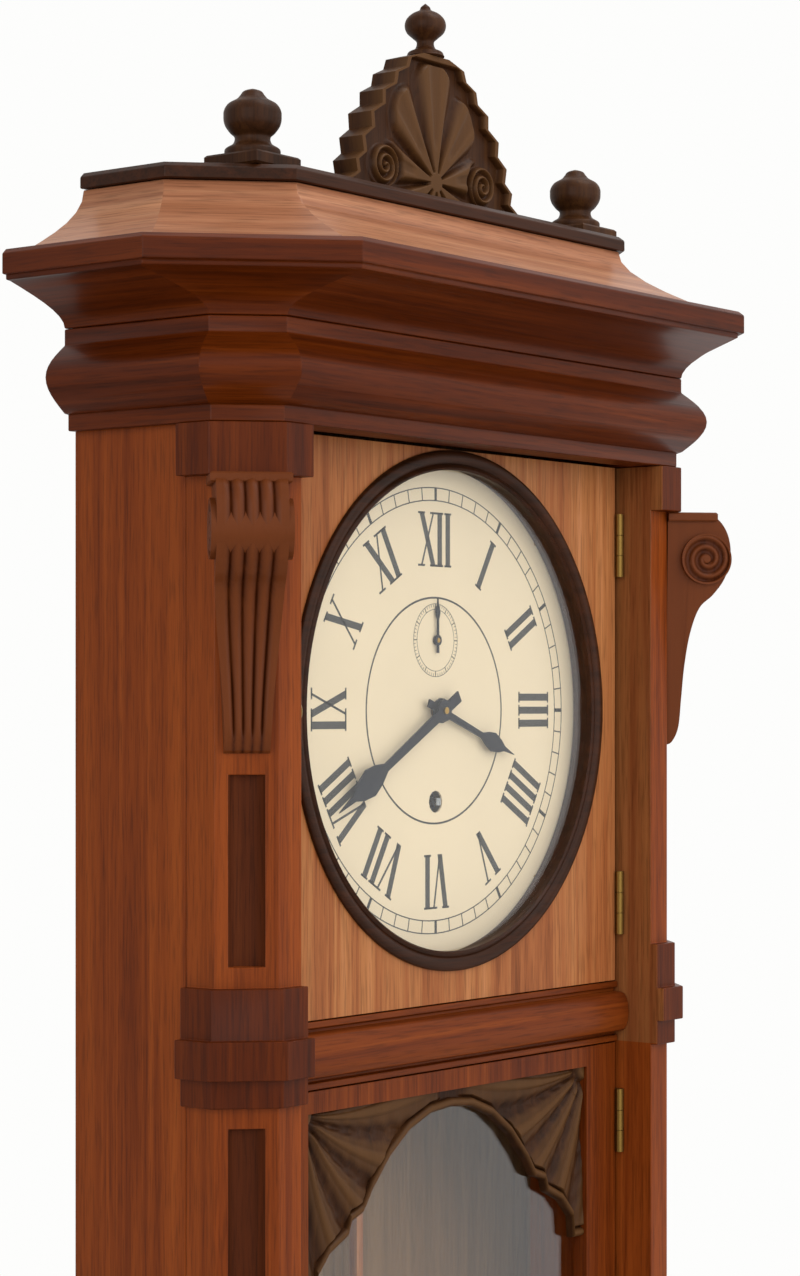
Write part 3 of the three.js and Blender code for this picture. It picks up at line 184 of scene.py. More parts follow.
# %% Wood with rings, pores and slow tone
def varnished_wood(name, along, stops, roughness=0.42, coat=0.08, wear_and_highlight_colour=None):
    """Wood whose grain goes along one direction, under a thin varnish.

    With a wear and highlight colour, the wood turns towards it where the mesh attribute "raised" is
    high: partly polish rubbed off the high parts of a carving, partly a painted highlight on them, and
    painted shade in its hollows."""
    material, tree, shader = new_material(name)
    place = add_node(tree, "ShaderNodeTexCoord").outputs["Object"]
    rings = add_node(tree, "ShaderNodeTexNoise", {
        "Vector": stretched(tree, place, along, RING_WIDTH, RING_LENGTH), "Scale": 1.0,
        "Detail": 4.0, "Roughness": 0.62, "Distortion": 0.8}).outputs["Fac"]
    pores = add_node(tree, "ShaderNodeTexNoise", {
        "Vector": stretched(tree, place, along, PORE_WIDTH, PORE_LENGTH), "Scale": 1.0,
        "Detail": 2.0}).outputs["Fac"]
    tone = add_node(tree, "ShaderNodeTexNoise", {
        "Vector": stretched(tree, place, along, TONE_WIDTH, RING_LENGTH * 2),
        "Scale": 1.0}).outputs["Fac"]
    figure = add_node(tree, "ShaderNodeMix", {
        "Factor": 0.3, "A": rings, "B": tone}, data_type="FLOAT").outputs["Result"]
    colour = colour_ramp(tree, figure, stops)
    pore_mask = add_node(tree, "ShaderNodeMapRange", {
        "Value": pores, "From Min": 0.34, "From Max": 0.5,
        "To Min": 0.72, "To Max": 1.0}).outputs["Result"]
    darkened = add_node(tree, "ShaderNodeMix", {
        "Factor": 1.0, "A": colour, "B": pore_mask}, data_type="RGBA", blend_type="MULTIPLY")
    result = darkened.outputs["Result"]
    if wear_and_highlight_colour:
        raised = add_node(tree, "ShaderNodeAttribute", attribute_name="raised").outputs["Fac"]
        wear_and_highlight = add_node(tree, "ShaderNodeMapRange", {
            "Value": raised, "From Min": 0.35, "From Max": 1.0, "To Max": 0.75}).outputs["Result"]
        result = add_node(tree, "ShaderNodeMix", {
            "Factor": wear_and_highlight, "A": result, "B": linear(wear_and_highlight_colour)},
            data_type="RGBA").outputs["Result"]
    tree.links.new(result, shader.inputs["Base Color"])
    bump = add_node(tree, "ShaderNodeBump", {
        "Height": pores, "Strength": 0.12, "Distance": 0.2 * MM})
    tree.links.new(bump.outputs["Normal"], shader.inputs["Normal"])
    shader.inputs["Roughness"].default_value = roughness
    shader.inputs["Specular IOR Level"].default_value = 0.08
    shader.inputs["Coat Weight"].default_value = coat
    shader.inputs["Coat Roughness"].default_value = 0.2
    return material


# %% Stain and varnish the woods, some with painted light and painted shade
WALNUT_STOPS = [(0.3, "#5b2306"), (0.46, "#7e380f"), (0.58, "#8e4315"), (0.74, "#a6551f")]
PANEL_STOPS = [(0.3, "#814523"), (0.46, "#a36036"), (0.58, "#b57545"), (0.74, "#ce895a")]
# The reveal's paler walnut is partly painted light on the inner faces of the corner posts.
REVEAL_STOPS = [(0.3, "#663317"), (0.46, "#814825"), (0.58, "#905930"), (0.74, "#a46940")]
DARK_STOPS = [(0.3, "#221004"), (0.5, "#361b0b"), (0.74, "#482511")]
# The lower door and the belt rail take a darker, redder walnut than the case: partly their own colour,
# partly painted shade on the door's stile and in the rail's grooves.
DOOR_STOPS = [(0.3, "#4d1c05"), (0.46, "#6b2e0b"), (0.58, "#7c3910"), (0.74, "#924819")]
DEEP_STOPS = [(0.3, "#351201"), (0.46, "#501d02"), (0.58, "#5f2604"), (0.74, "#76350e")]
# The roof's walnut is lighter and paler than the case's: painted light on the slope that faces up, and a
# painted sheen.
ROOF_PAINTED_LIGHT_STOPS = [(0.3, "#834e31"), (0.46, "#a46b4b"), (0.58, "#b67e5b"), (0.74, "#cc926c")]
# Painted shade for the faces sunk in the flutes of the corner posts.
SHADED_STOPS = [(0.3, "#371605"), (0.5, "#50230c"), (0.74, "#693515")]
CARVED_STOPS = [(0.3, "#261306"), (0.5, "#3b2110"), (0.74, "#513218")]
# The corbels' darker walnut is painted shade; the lighter colour on their raised parts is partly wear,
# partly a painted highlight.
SCROLL_PAINTED_SHADE_STOPS = [(0.3, "#2e1103"), (0.5, "#451d09"), (0.74, "#5d2d11")]
PINE_STOPS = [(0.3, "#62462a"), (0.5, "#7b5b3c"), (0.74, "#8f6e4a")]


def in_every_grain(name, directions, *recipe):
    """One wood for each direction that its boards' grain may run in."""
    return {along: varnished_wood(f"{name}_{along}", along, *recipe) for along in directions}


walnut = in_every_grain("varnished_walnut", GRAIN, WALNUT_STOPS)
pale_walnut = varnished_wood("pale_walnut", "Z", PANEL_STOPS, 0.4, 0.12)
reveal_walnut = varnished_wood("reveal_walnut", "Z", REVEAL_STOPS, 0.4, 0.12)
door_walnut = in_every_grain("door_walnut", "XZ", DOOR_STOPS)
deep_walnut = in_every_grain("deep_walnut", GRAIN, DEEP_STOPS)
# The roof slope's lighter, paler walnut is painted light.
roof_walnut_painted_light = in_every_grain("roof_walnut_painted_light", GRAIN, ROOF_PAINTED_LIGHT_STOPS, 0.4, 0.12)
# A near-black walnut: a dark stain on the attic board, and on the bezel partly painted shade of the
# recess round the dial.
dark_walnut = varnished_wood("stained_and_shaded_walnut", "X", DARK_STOPS)
# The second colour lightens the high parts of the carving: partly wear, partly a painted highlight.
carved_walnut = varnished_wood("carved_walnut", "Z", CARVED_STOPS, 0.5, 0.05, "#604022")
# Painted shade on the corbels, with lighter raised parts.
scroll_walnut_painted_shade = varnished_wood("scroll_walnut_painted_shade", "Z", SCROLL_PAINTED_SHADE_STOPS, 0.46, 0.06, "#6f3818")
shaded_walnut = varnished_wood("shaded_walnut", "Z", SHADED_STOPS, 0.6, 0.0)
bare_pine = varnished_wood("bare_pine", "Z", PINE_STOPS, 0.75, 0.0)
print("woods", sum("walnut" in m.name or "pine" in m.name for m in bpy.data.materials))

# %% [markdown]
# ## Metals, enamel and glass
#
# The movement is lacquered brass with steel arbors, the hands are steel heated until it turns blue,
# the dial is cream enamel, and both panes are thin window glass. A metal's colour is its
# reflection, so it only needs a base colour and a roughness. Fine noise in the roughness keeps wide
# metal faces from looking like plastic.

# %% A bare metal
# Polishing marks are a few hundredths of a millimetre apart, and are drawn coarser to show at all.
GRIT = 2 * MM


def metal(name, colour, roughness, spread=0.08):
    """A bare metal with a slightly uneven polish."""
    material, tree, shader = new_material(name)
    place = add_node(tree, "ShaderNodeTexCoord").outputs["Object"]
    grain = add_node(tree, "ShaderNodeTexNoise", {
        "Vector": place, "Scale": 1 / GRIT, "Detail": 3.0}).outputs["Fac"]
    uneven = add_node(tree, "ShaderNodeMapRange", {
        "Value": grain, "To Min": roughness - spread,
        "To Max": roughness + spread}).outputs["Result"]
    tree.links.new(uneven, shader.inputs["Roughness"])
    shader.inputs["Base Color"].default_value = linear(colour)
    shader.inputs["Metallic"].default_value = 1.0
    return material


# %% A coat of enamel, paint or ink, and a pane of glass
CLOUD = 60 * MM


def painted(name, colour, roughness, coat=0.0):
    """A smooth coloured coat with faint clouding from age."""
    material, tree, shader = new_material(name)
    place = add_node(tree, "ShaderNodeTexCoord").outputs["Object"]
    cloud = add_node(tree, "ShaderNodeTexNoise", {
        "Vector": place, "Scale": 1 / CLOUD, "Detail": 3.0}).outputs["Fac"]
    shade = add_node(tree, "ShaderNodeMapRange", {
        "Value": cloud, "To Min": 0.94, "To Max": 1.04}).outputs["Result"]
    mixed = add_node(tree, "ShaderNodeMix", {
        "Factor": 1.0, "A": linear(colour), "B": shade}, data_type="RGBA", blend_type="MULTIPLY")
    tree.links.new(mixed.outputs["Result"], shader.inputs["Base Color"])
    shader.inputs["Roughness"].default_value = roughness
    shader.inputs["Coat Weight"].default_value = coat
    return material


def window_glass(name):
    """Thin clear glass: light goes straight through it, and the surface mirrors at a glance."""
    material, tree, shader = new_material(name)
    shader.inputs["Base Color"].default_value = linear("#fbfcfb")
    shader.inputs["Roughness"].default_value = 0.03
    shader.inputs["Transmission Weight"].default_value = 1.0
    shader.inputs["IOR"].default_value = 1.45
    clear = add_node(tree, "ShaderNodeBsdfTransparent", {"Color": linear("#fdfdfc")})
    straight = add_node(tree, "ShaderNodeLightPath")
    passes = add_node(tree, "ShaderNodeMath", {
        0: straight.outputs["Is Shadow Ray"], 1: straight.outputs["Is Diffuse Ray"]},
        operation="MAXIMUM").outputs["Value"]
    mix = add_node(tree, "ShaderNodeMixShader", {
        0: passes, 1: shader.outputs["BSDF"], 2: clear.outputs["BSDF"]})
    tree.links.new(mix.outputs["Shader"], tree.nodes["Material Output"].inputs["Surface"])
    return material


# %% Metal, enamel and glass finishes
brass = metal("lacquered_brass", "#b8903f", 0.3)
old_brass = metal("darkened_brass", "#7d6231", 0.42)
steel = metal("polished_steel", "#a3a6a8", 0.28)
blued_steel = metal("blued_steel", "#20222c", 0.34)
black_iron = painted("black_iron", "#2b2a29", 0.6)
cream_enamel = painted("cream_enamel", "#f6e1bd", 0.36, coat=0.1)
black_print = painted("black_print", "#23201a", 0.5)
glass = window_glass("window_glass")
print("finishes", len(bpy.data.materials))

# %% [markdown]
# ## Boards with eased edges
#
# A plane and sandpaper leave no razor edge on a real board: each arris is a round of about a
# millimetre that catches a line of light. A CAD solid has perfectly sharp corners, and its mesh is
# not to be touched, so a copy gets its doubles merged, its flats dissolved to whole faces and a
# small bevel. The copy then stands for the node.


# %% Ease the edges of a board
ARRIS = 0.8 * MM
ARRIS_SEGMENTS = 2
ARRIS_ANGLE = math.radians(32)
FLAT_ANGLE = math.radians(0.5)
DOUBLES = 1e-6


def eased(node, material):
    """A copy of a CAD node with merged corners, whole flats and a bevel along its sharp edges."""
    source = frame["nodes"][node]
    mesh = source.data.copy()
    mesh.name = f"{node}_eased"
    work = bmesh.new()
    work.from_mesh(mesh)
    bmesh.ops.remove_doubles(work, verts=work.verts, dist=DOUBLES)
    bmesh.ops.dissolve_limit(work, angle_limit=FLAT_ANGLE, verts=work.verts, edges=work.edges)
    work.to_mesh(mesh)
    work.free()
    mesh.materials.clear()
    mesh.materials.append(material)
    mesh.polygons.foreach_set("use_smooth", np.ones(len(mesh.polygons), dtype=bool))
    mesh.set_sharp_from_angle(angle=ARRIS_ANGLE)
    piece = bpy.data.objects.new(f"{node}_eased", mesh)
    bpy.context.scene.collection.objects.link(piece)
    bevel = piece.modifiers.new("eased_edges", "BEVEL")
    bevel.width = ARRIS
    bevel.segments = ARRIS_SEGMENTS
    bevel.limit_method = "ANGLE"
    bevel.angle_limit = ARRIS_ANGLE
    bevel.harden_normals = True
    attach(piece, BODY_OF[node])
    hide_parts(node)
    return piece


eased("left_side", walnut["Z"])
eased("right_side", walnut["Z"])
eased("pendulum_door", door_walnut["Z"])


# %% The belt rail, with painted shade on its underside
def of_each_face(mesh, measure):
    """The normal, the center or the area of every face, as rows of an array."""
    values = np.empty(len(mesh.polygons) * (1 if measure == "area" else 3))
    mesh.polygons.foreach_get(measure, values)
    return values.reshape(len(mesh.polygons), -1)


UNDERSIDE = -0.6
belt = eased("belt_rail", door_walnut["X"])
belt.data.materials.append(deep_walnut["X"])
# Faces that look down take the deep walnut: painted shade under the rail.
under = of_each_face(belt.data, "normal")[:, 2] < UNDERSIDE
belt.data.polygons.foreach_set("material_index", under.astype(int))
print("belt rail, faces below", int(under.sum()))


# %% Mitre the mouldings, with the grain along each run
def mitre(piece, woods):
    """Gives each run of a moulding the wood whose grain goes along it.

    A face's heading is 0 to the front, a quarter turn to the sides and an eighth to the corners.
    A level face takes the wood of the front."""
    mesh = piece.data
    mesh.materials.clear()
    for along in ("X", "Y", "left_cant", "right_cant"):
        mesh.materials.append(woods[along])
    x, y, z = of_each_face(mesh, "normal").T
    eighths = np.round(np.arctan2(x, -y) / EIGHTH_TURN).astype(int)
    level = np.abs(z) > 0.999
    run = np.select([level, np.abs(eighths) == 2, eighths == -1, eighths == 1], [0, 1, 2, 3], 0)
    mesh.polygons.foreach_set("material_index", run)
    print(piece.name, "faces by run", np.bincount(run, minlength=4).tolist())


for node, woods in {
    "frieze_moulding": deep_walnut, "cornice_moulding": deep_walnut, "roof_slope": roof_walnut_painted_light,
    "base_moulding": walnut, "bottom_taper": walnut}.items():
    mitre(eased(node, woods["X"]), woods)

# %% The dial door and the attic board
eased("dial_door", pale_walnut)
eased("attic_board", dark_walnut)

# %% Stain the parts of the corner posts, with painted shade and painted light
BLOCK_HEIGHT = 67 * MM
BLOCK_MARGIN = 2 * MM
FLUTE_SHALLOW, FLUTE_DEEP = 0.4 * MM, 9 * MM


def shade_post(post, sign):
    """Gives the flutes, the bands and the upper reveal of a post their own woods.

    Faces sunk behind the canted face take the shaded walnut: painted shade in the flutes, with the old
    polish that settles there. The capital and the block beside the belt rail are of the darker wood of
    the frieze. The reveal beside the dial door is nearly as pale as that door, partly a paler stain and
    partly painted light, and a cut at the belt rail's foot ends it."""
    mesh = post.data
    for wood in (shaded_walnut, deep_walnut["Z"], reveal_walnut):
        mesh.materials.append(wood)
    block_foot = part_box("belt_rail")[0][2]
    work = bmesh.new()
    work.from_mesh(mesh)
    bmesh.ops.bisect_plane(work, geom=work.verts[:] + work.edges[:] + work.faces[:],
                           plane_co=(0, 0, block_foot), plane_no=(0, 0, 1))
    work.to_mesh(mesh)
    work.free()
    outward = np.array([sign, -1, 0]) / math.sqrt(2)
    normals, centres = of_each_face(mesh, "normal"), of_each_face(mesh, "center")
    areas = of_each_face(mesh, "area")[:, 0]
    facing, reach, height = normals @ outward, centres @ outward, centres[:, 2]
    canted = facing > 0.999
    face_reach = reach[canted][np.argmax(areas[canted])]
    # Faces sunk in the flutes take the shaded walnut: painted shade, with old polish.
    sunk = (facing > 0.4) & (reach < face_reach - FLUTE_SHALLOW) & (reach > face_reach - FLUTE_DEEP)
    square_on = np.abs(facing - math.sqrt(0.5)) < 0.01
    sunk &= ~square_on
    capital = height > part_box("left_corbel")[1][2]
    block = (height > block_foot - BLOCK_MARGIN) & (height < block_foot + BLOCK_HEIGHT)
    # Faces that look in towards the dial door take the reveal walnut: partly painted light.
    reveal = (normals[:, 0] * sign < -0.9) & (height > block_foot)
    wood = np.select([sunk, reveal, capital | block], [1, 3, 2], 0)
    mesh.polygons.foreach_set("material_index", wood)
    print(post.name, "plain, fluted, banded and reveal faces", np.bincount(wood).tolist())


for side, sign in (("left", -1), ("right", 1)):
    shade_post(eased(f"{side}_corner_post", walnut["Z"]), sign)

# %% [markdown]
# ## Finishes on the pieces that keep their CAD shape
#
# Plates, wheels, hinges and hands are flat or plainly turned, so their solids are right as they are
# and only take a finish.


# %% Finish the CAD pieces
def finish(material, *names):
    """Gives CAD nodes one material."""
    for name in names:
        piece = frame["nodes"][name]
        piece.data.materials.clear()
        piece.data.materials.append(material)


finish(bare_pine, "backboard", "dial_board")
finish(brass, "front_plate", "back_plate", "mainspring_barrel", "intermediate_wheel", "third_wheel",
       "centre_wheel", "escape_wheel", "minute_wheel", "hour_wheel", "pendulum_cock", "beat_scale")
finish(old_brass, "hanger_plate", "dial_door_latch", "pendulum_door_latch", *[
    name for name in frame["nodes"] if name.endswith("_leaf")])
finish(steel, "winding_arbor", "click", "anchor", "suspension_spring")
finish(blued_steel, "hour_hand", "minute_hand", "seconds_hand")
finish(black_iron, "movement_bracket")
finish(cream_enamel, "dial")
finish(pale_walnut, "pendulum_rod")
finish(glass, "dial_glass", "pendulum_door_glass")
print("CAD pieces with a finish", sum(bool(o.data.materials) for o in frame["nodes"].values()))

# %% [markdown]
# ## Turned work
#
# Finials, the crest's knob, the drop and the dial's bezel come off a lathe, so each is one profile
# carried round an axis. The profile's points are joined by a smooth curve, because a turner's gouge
# leaves no corners except where a fillet is cut on purpose.


# %% A smooth profile
def smooth_profile(points, per_span=6):
    """Catmull-Rom curve through (radius, height) points, the ends repeated, as an array."""
    p = np.array([points[0], *points, points[-1]], dtype=float)
    t = np.linspace(0, 1, per_span, endpoint=False)[:, None]
    spans = [
        0.5 * (2 * b + (c - a) * t + (2 * a - 5 * b + 4 * c - d) * t ** 2
               + (3 * b - a - 3 * c + d) * t ** 3)
        for a, b, c, d in zip(p, p[1:], p[2:], p[3:])]
    return np.vstack([*spans, p[-1:]])


# %% A skin over points
SHARP_ANGLE = math.radians(40)


def skin(name, points, faces, material, sharp=SHARP_ANGLE, raised=None):
    """A smooth mesh with merged corners, as a piece of its own.

    raised is a value for each point that the carved woods read."""
    mesh = bpy.data.meshes.new(name)
    mesh.from_pydata(points.reshape(-1, 3).tolist(), [], faces)
    if raised is not None:
        layer = mesh.attributes.new("raised", "FLOAT", "POINT")
        layer.data.foreach_set("value", np.asarray(raised, dtype=np.float32).ravel())
    work = bmesh.new()
    work.from_mesh(mesh)
    bmesh.ops.remove_doubles(work, verts=work.verts, dist=DOUBLES)
    bmesh.ops.dissolve_degenerate(work, edges=work.edges, dist=DOUBLES)
    bmesh.ops.recalc_face_normals(work, faces=work.faces)
    work.to_mesh(mesh)
    work.free()
    mesh.materials.append(material)
    mesh.polygons.foreach_set("use_smooth", np.ones(len(mesh.polygons), dtype=bool))
    mesh.set_sharp_from_angle(angle=sharp)
    piece = bpy.data.objects.new(name, mesh)
    bpy.context.scene.collection.objects.link(piece)
    return piece


# %% A grid of points, and a profile turned on a lathe
KNURL_DEPTH = 0.5 * MM


def grid_mesh(name, points, material, closed_u=False, closed_v=False, capped=False, raised=None):
    """A skin over an array of points (rows, columns, 3), joined to the next row and column.

    capped closes the first and the last row with one face each."""
    rows, columns, _ = points.shape
    index = np.arange(rows * columns).reshape(rows, columns)
    a = index if closed_u else index[:-1]
    b = np.roll(index, -1, axis=0) if closed_u else index[1:]
    if closed_v:
        quads = np.stack([a, b, np.roll(b, -1, axis=1), np.roll(a, -1, axis=1)], axis=-1)
    else:
        quads = np.stack([a[:, :-1], b[:, :-1], b[:, 1:], a[:, 1:]], axis=-1)
    faces = quads.reshape(-1, 4).tolist()
    if capped:
        faces += [index[0].tolist(), index[-1][::-1].tolist()]
    return skin(name, points, faces, material, raised=raised)


def turned(name, profile, place, material, along="Z", segments=56, loop=False, knurl=0):
    """Revolves (radius, height) points in metres about an axis through place.

    loop joins the last point to the first, for a ring. knurl cuts that many fine flutes into the
    widest part of the profile."""
    angle = np.linspace(0, 2 * np.pi, segments, endpoint=False)
    radius = np.repeat(profile[:, 0][:, None], segments, axis=1)
    if knurl:
        widest = radius > profile[:, 0].max() * 0.97
        radius = radius - widest * KNURL_DEPTH * np.abs(np.cos(angle * knurl / 2))
    height = np.repeat(profile[:, 1][:, None], segments, axis=1)
    ring = [radius * np.cos(angle), radius * np.sin(angle)]
    axes = [ring[0], ring[1], height] if along == "Z" else [ring[0], height, ring[1]]
    points = np.stack(axes, axis=-1) + np.array(place)
    return grid_mesh(name, points, material, closed_u=loop, closed_v=True)


# %% Turn the crest's knob and the drop
KNOB = [(0, 0), (0.85, 0), (0.88, 0.05), (0.8, 0.1), (0.5, 0.16), (0.42, 0.28), (0.62, 0.36),
        (0.9, 0.46), (1, 0.58), (0.92, 0.7), (0.66, 0.8), (0.3, 0.87), (0.22, 0.93), (0, 1)]
DROP = [(0, 0), (0.2, 0.03), (0.3, 0.12), (0.2, 0.2), (0.34, 0.26), (0.72, 0.38), (0.9, 0.52),
        (0.84, 0.66), (0.5, 0.78), (0.46, 0.86), (0.96, 0.9), (1, 0.93), (1, 1), (0, 1)]


def turned_node(node, shares, material):
    """Turns a profile of shares to fill a node's box, and stands for the node."""
    low, high = np.array(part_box(node))
    radius = (high[0] - low[0]) / 2
    middle = (low + high) / 2
    profile = smooth_profile(shares) * [radius, high[2] - low[2]]
    profile[:, 0] = np.clip(profile[:, 0], 0, radius)
    profile[:, 1] = np.clip(profile[:, 1], 0, high[2] - low[2])
    piece = turned(f"{node}_turned", profile, (middle[0], middle[1], low[2]), material)
    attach(piece, BODY_OF[node])
    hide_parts(node)
    print(node, "turned, radius", round(radius / MM, 1), "mm")


turned_node("crest_finial", KNOB, carved_walnut)
turned_node("drop_finial", DROP, carved_walnut)

# %% Turn the corner finials, each on its square foot
FINIAL_FOOT_SHARE = 8 / 48
FINIAL_RADIUS_SHARE = 17 / 20
FOOT_ARRIS = 1.2 * MM
VASE = [(0.95, 0), (0.95, 0.1), (0.68, 0.18), (0.62, 0.28), (0.8, 0.36), (0.97, 0.48), (1, 0.64),
        (0.86, 0.76), (0.55, 0.84), (0.42, 0.9), (0.3, 0.96), (0, 1)]


def corner_finial(node, segments=64):
    """A square foot and a round vase in one skin, as rows of half width, height and squareness."""
    low, high = np.array(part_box(node))
    half, tall = (high[0] - low[0]) / 2, high[2] - low[2]
    foot = FINIAL_FOOT_SHARE * tall
    rows = [(0, 0, 1), (half - FOOT_ARRIS, 0, 1), (half, FOOT_ARRIS, 1),
            (half, foot - FOOT_ARRIS, 1), (half - FOOT_ARRIS, foot, 1)]
    vase = np.clip(smooth_profile(VASE), 0, 1) * [half * FINIAL_RADIUS_SHARE, tall - foot]
    rows += [(radius, foot + height, 0) for radius, height in vase]
    radius, height, squareness = np.array(rows).T[:, :, None]
    angle = np.linspace(0, 2 * np.pi, segments, endpoint=False) + np.pi / 4
    square = 1 / np.maximum(np.abs(np.cos(angle)), np.abs(np.sin(angle)))
    reach = radius * np.where(squareness, square, 1)
    points = np.stack([
        reach * np.cos(angle), reach * np.sin(angle), np.broadcast_to(height, reach.shape)], axis=-1)
    middle = [(low[0] + high[0]) / 2, (low[1] + high[1]) / 2, low[2]]
    piece = grid_mesh(f"{node}_turned", points + middle, carved_walnut, closed_v=True)
    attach(piece, "case")
    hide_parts(node)
    print(node, "turned, half its foot", round(half / MM, 1), "mm")


for side in ("left", "right"):
    corner_finial(f"{side}_finial")

# %% Turn the bezel
BEZEL = [(0, 0.29), (0, 0.1), (0.1, 0.04), (0.22, 0.06), (0.3, 0.12), (0.42, 0.04), (0.6, 0),
         (0.8, 0.01), (0.94, 0.04), (1, 0.1), (1, 0.16), (0.655, 0.16), (0.655, 1), (0.27, 1),
         (0.27, 0.29)]
BEZEL_WIDTH = 12.2 * MM
low, high = np.array(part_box("dial_bezel"))
bezel_profile = np.array(BEZEL) * [BEZEL_WIDTH, high[1] - low[1]] + [high[0] - BEZEL_WIDTH, 0]
# The bezel's near-black wood is partly painted shade of the recess round the dial.
bezel = turned("dial_bezel_turned", bezel_profile, (0, low[1], 0), dark_walnut, "Y", 144, loop=True)
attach(bezel, "dial_door")
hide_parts("dial_bezel")
print("bezel faces", len(bezel.data.polygons))

# %% Turn the bob
BOB = [(0, 0.02), (0.12, 0.02), (0.16, 0.06), (0.2, 0.045), (0.45, 0.12), (0.7, 0.26), (0.88, 0.385),
       (0.93, 0.4), (0.96, 0.42), (1, 0.47), (1, 0.53), (0.96, 0.58), (0.93, 0.6), (0.88, 0.615),
       (0.7, 0.74), (0.45, 0.88), (0.2, 0.955), (0, 0.98)]
low, high = np.array(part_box("pendulum_bob"))
bob_radius = (high[0] - low[0]) / 2
bob = turned("pendulum_bob_turned", smooth_profile(BOB) * [bob_radius, high[1] - low[1]],
             (0, low[1], low[2] + bob_radius), brass, "Y", 128)
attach(bob, "pendulum")
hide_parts("pendulum_bob")
print("bob radius", round(bob_radius / MM, 1), "mm")

# %% Knurl the rating nut
NUT_BORE, NUT_CHAMFER = 2.6 * MM, 0.8 * MM
low, high = np.array(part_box("rating_nut"))
nut_radius, nut_height = (high[0] - low[0]) / 2, high[2] - low[2]
nut_centre = ((low[0] + high[0]) / 2, (low[1] + high[1]) / 2)
nut_profile = np.array([
    (NUT_BORE, 0), (nut_radius - NUT_CHAMFER, 0), (nut_radius, NUT_CHAMFER),
    (nut_radius, nut_height - NUT_CHAMFER), (nut_radius - NUT_CHAMFER, nut_height),
    (NUT_BORE, nut_height)])
nut = turned("rating_nut_knurled", nut_profile, (*nut_centre, low[2]), brass,
             segments=288, loop=True, knurl=48)
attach(nut, "rating_nut")
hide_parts("rating_nut")
print("nut radius", round(nut_radius / MM, 1), "mm")

# %% Cut the thread that the nut runs on
# A real thread of this size has 0.8 mm of pitch. It is drawn coarser, because it would be lost.
THREAD_PITCH, THREAD_LOW, THREAD_HIGH = 1.4 * MM, 2.22 * MM, 2.5 * MM
THREAD_SIDES, THREAD_ROWS = 24, 480
THREAD_ABOVE_NUT = 30 * MM
angle = np.linspace(0, 2 * np.pi, THREAD_SIDES, endpoint=False)
rod_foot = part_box("pendulum_rod")[0][2]
levels = np.linspace(rod_foot, low[2] + nut_height + THREAD_ABOVE_NUT, THREAD_ROWS)
phase = np.mod((levels[:, None] - rod_foot) / THREAD_PITCH - angle / (2 * np.pi), 1)
thread_radius = THREAD_LOW + (THREAD_HIGH - THREAD_LOW) * (1 - np.abs(2 * phase - 1))
thread = grid_mesh("rating_screw_thread", np.stack([
    thread_radius * np.cos(angle) + nut_centre[0], thread_radius * np.sin(angle) + nut_centre[1],
    np.repeat(levels[:, None], THREAD_SIDES, axis=1)], axis=-1), steel, closed_v=True, capped=True)
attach(thread, "pendulum")
print("thread turns", round((levels[-1] - rod_foot) / THREAD_PITCH))

# %% [markdown]
# ## Carving
#
# The crest and the arch in the lower door are boards with a carved face. Each is ruled between two
# edges that are read off the CAD outline, and the face is sunk below the edge by a height formula:
# a palmette and two scrolls on the crest, and leaves that fan out of the corners on the arch. The
# height is also kept on the mesh, so that the wood turns lighter on the high parts: partly wear where
# hands and dusters reach, partly a painted highlight, with painted shade left in the hollows.
# The corbels are S-shaped blocks, reeded down the front, with a roll whose ends wind in a spiral.


# %% Relief between two edges
def smoothstep(low, high, value):
    """0 below low, 1 above high and a smooth rise between."""
    t = np.clip((value - low) / (high - low), 0, 1)
    return t * t * (3 - 2 * t)


def close_ends(piece):
    """Fills the two open ends of a reeded block with one face each."""
    work = bmesh.new()
    work.from_mesh(piece.data)
    bmesh.ops.holes_fill(work, edges=[edge for edge in work.edges if edge.is_boundary], sides=0)
    bmesh.ops.recalc_face_normals(work, faces=work.faces)
    work.to_mesh(piece.data)
    work.free()
    piece.data.set_sharp_from_angle(angle=SHARP_ANGLE)


def half_outline(node):
    """The CAD outline's points with x of zero or more, as (x, z), without repeats."""
    data = frame["nodes"][node].data.vertices
    points = np.empty(len(data) * 3)
    data.foreach_get("co", points)
    points = np.unique(np.round(points.reshape(-1, 3)[:, [0, 2]], 6), axis=0)
    return points[points[:, 0] > -1e-6]


def carved_board(node, first, second, height, sink, material, columns):
    """A board ruled between two edges of (x, z) points, its front sunk by the height formula."""
    low, high = np.array(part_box(node))
    t = np.linspace(0, 1, columns)[:, None]
    face = first[:, None, :] * (1 - t) + second[:, None, :] * t
    raised = height(face[..., 0], face[..., 1])
    front = np.stack([face[..., 0], low[1] + sink * (1 - raised), face[..., 1]], axis=-1)
    back = front[:, [-1, 0]]
    back[..., 1] = high[1]
    piece = grid_mesh(f"{node}_carved", np.concatenate([front, back], axis=1), material, closed_v=True,
                      capped=True, raised=np.concatenate([raised, np.zeros_like(raised[:, :2])], axis=1))
    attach(piece, BODY_OF[node])
    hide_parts(node)
    print(node, "carved", len(piece.data.polygons), "faces")


# %% Carve the crest
crest_points = half_outline("crest")
crest_points = crest_points[np.lexsort((crest_points[:, 0], crest_points[:, 1]))]
crest_low, crest_high = crest_points[0][1], crest_points[-1][1]
crest_tall, crest_half = crest_high - crest_low, crest_points[:, 0].max()
PETALS, PALMETTE_ROOT = 9, 0.16
SCROLL_OUT, SCROLL_UP, SCROLL_PITCH = 0.58, 0.2, 0.055


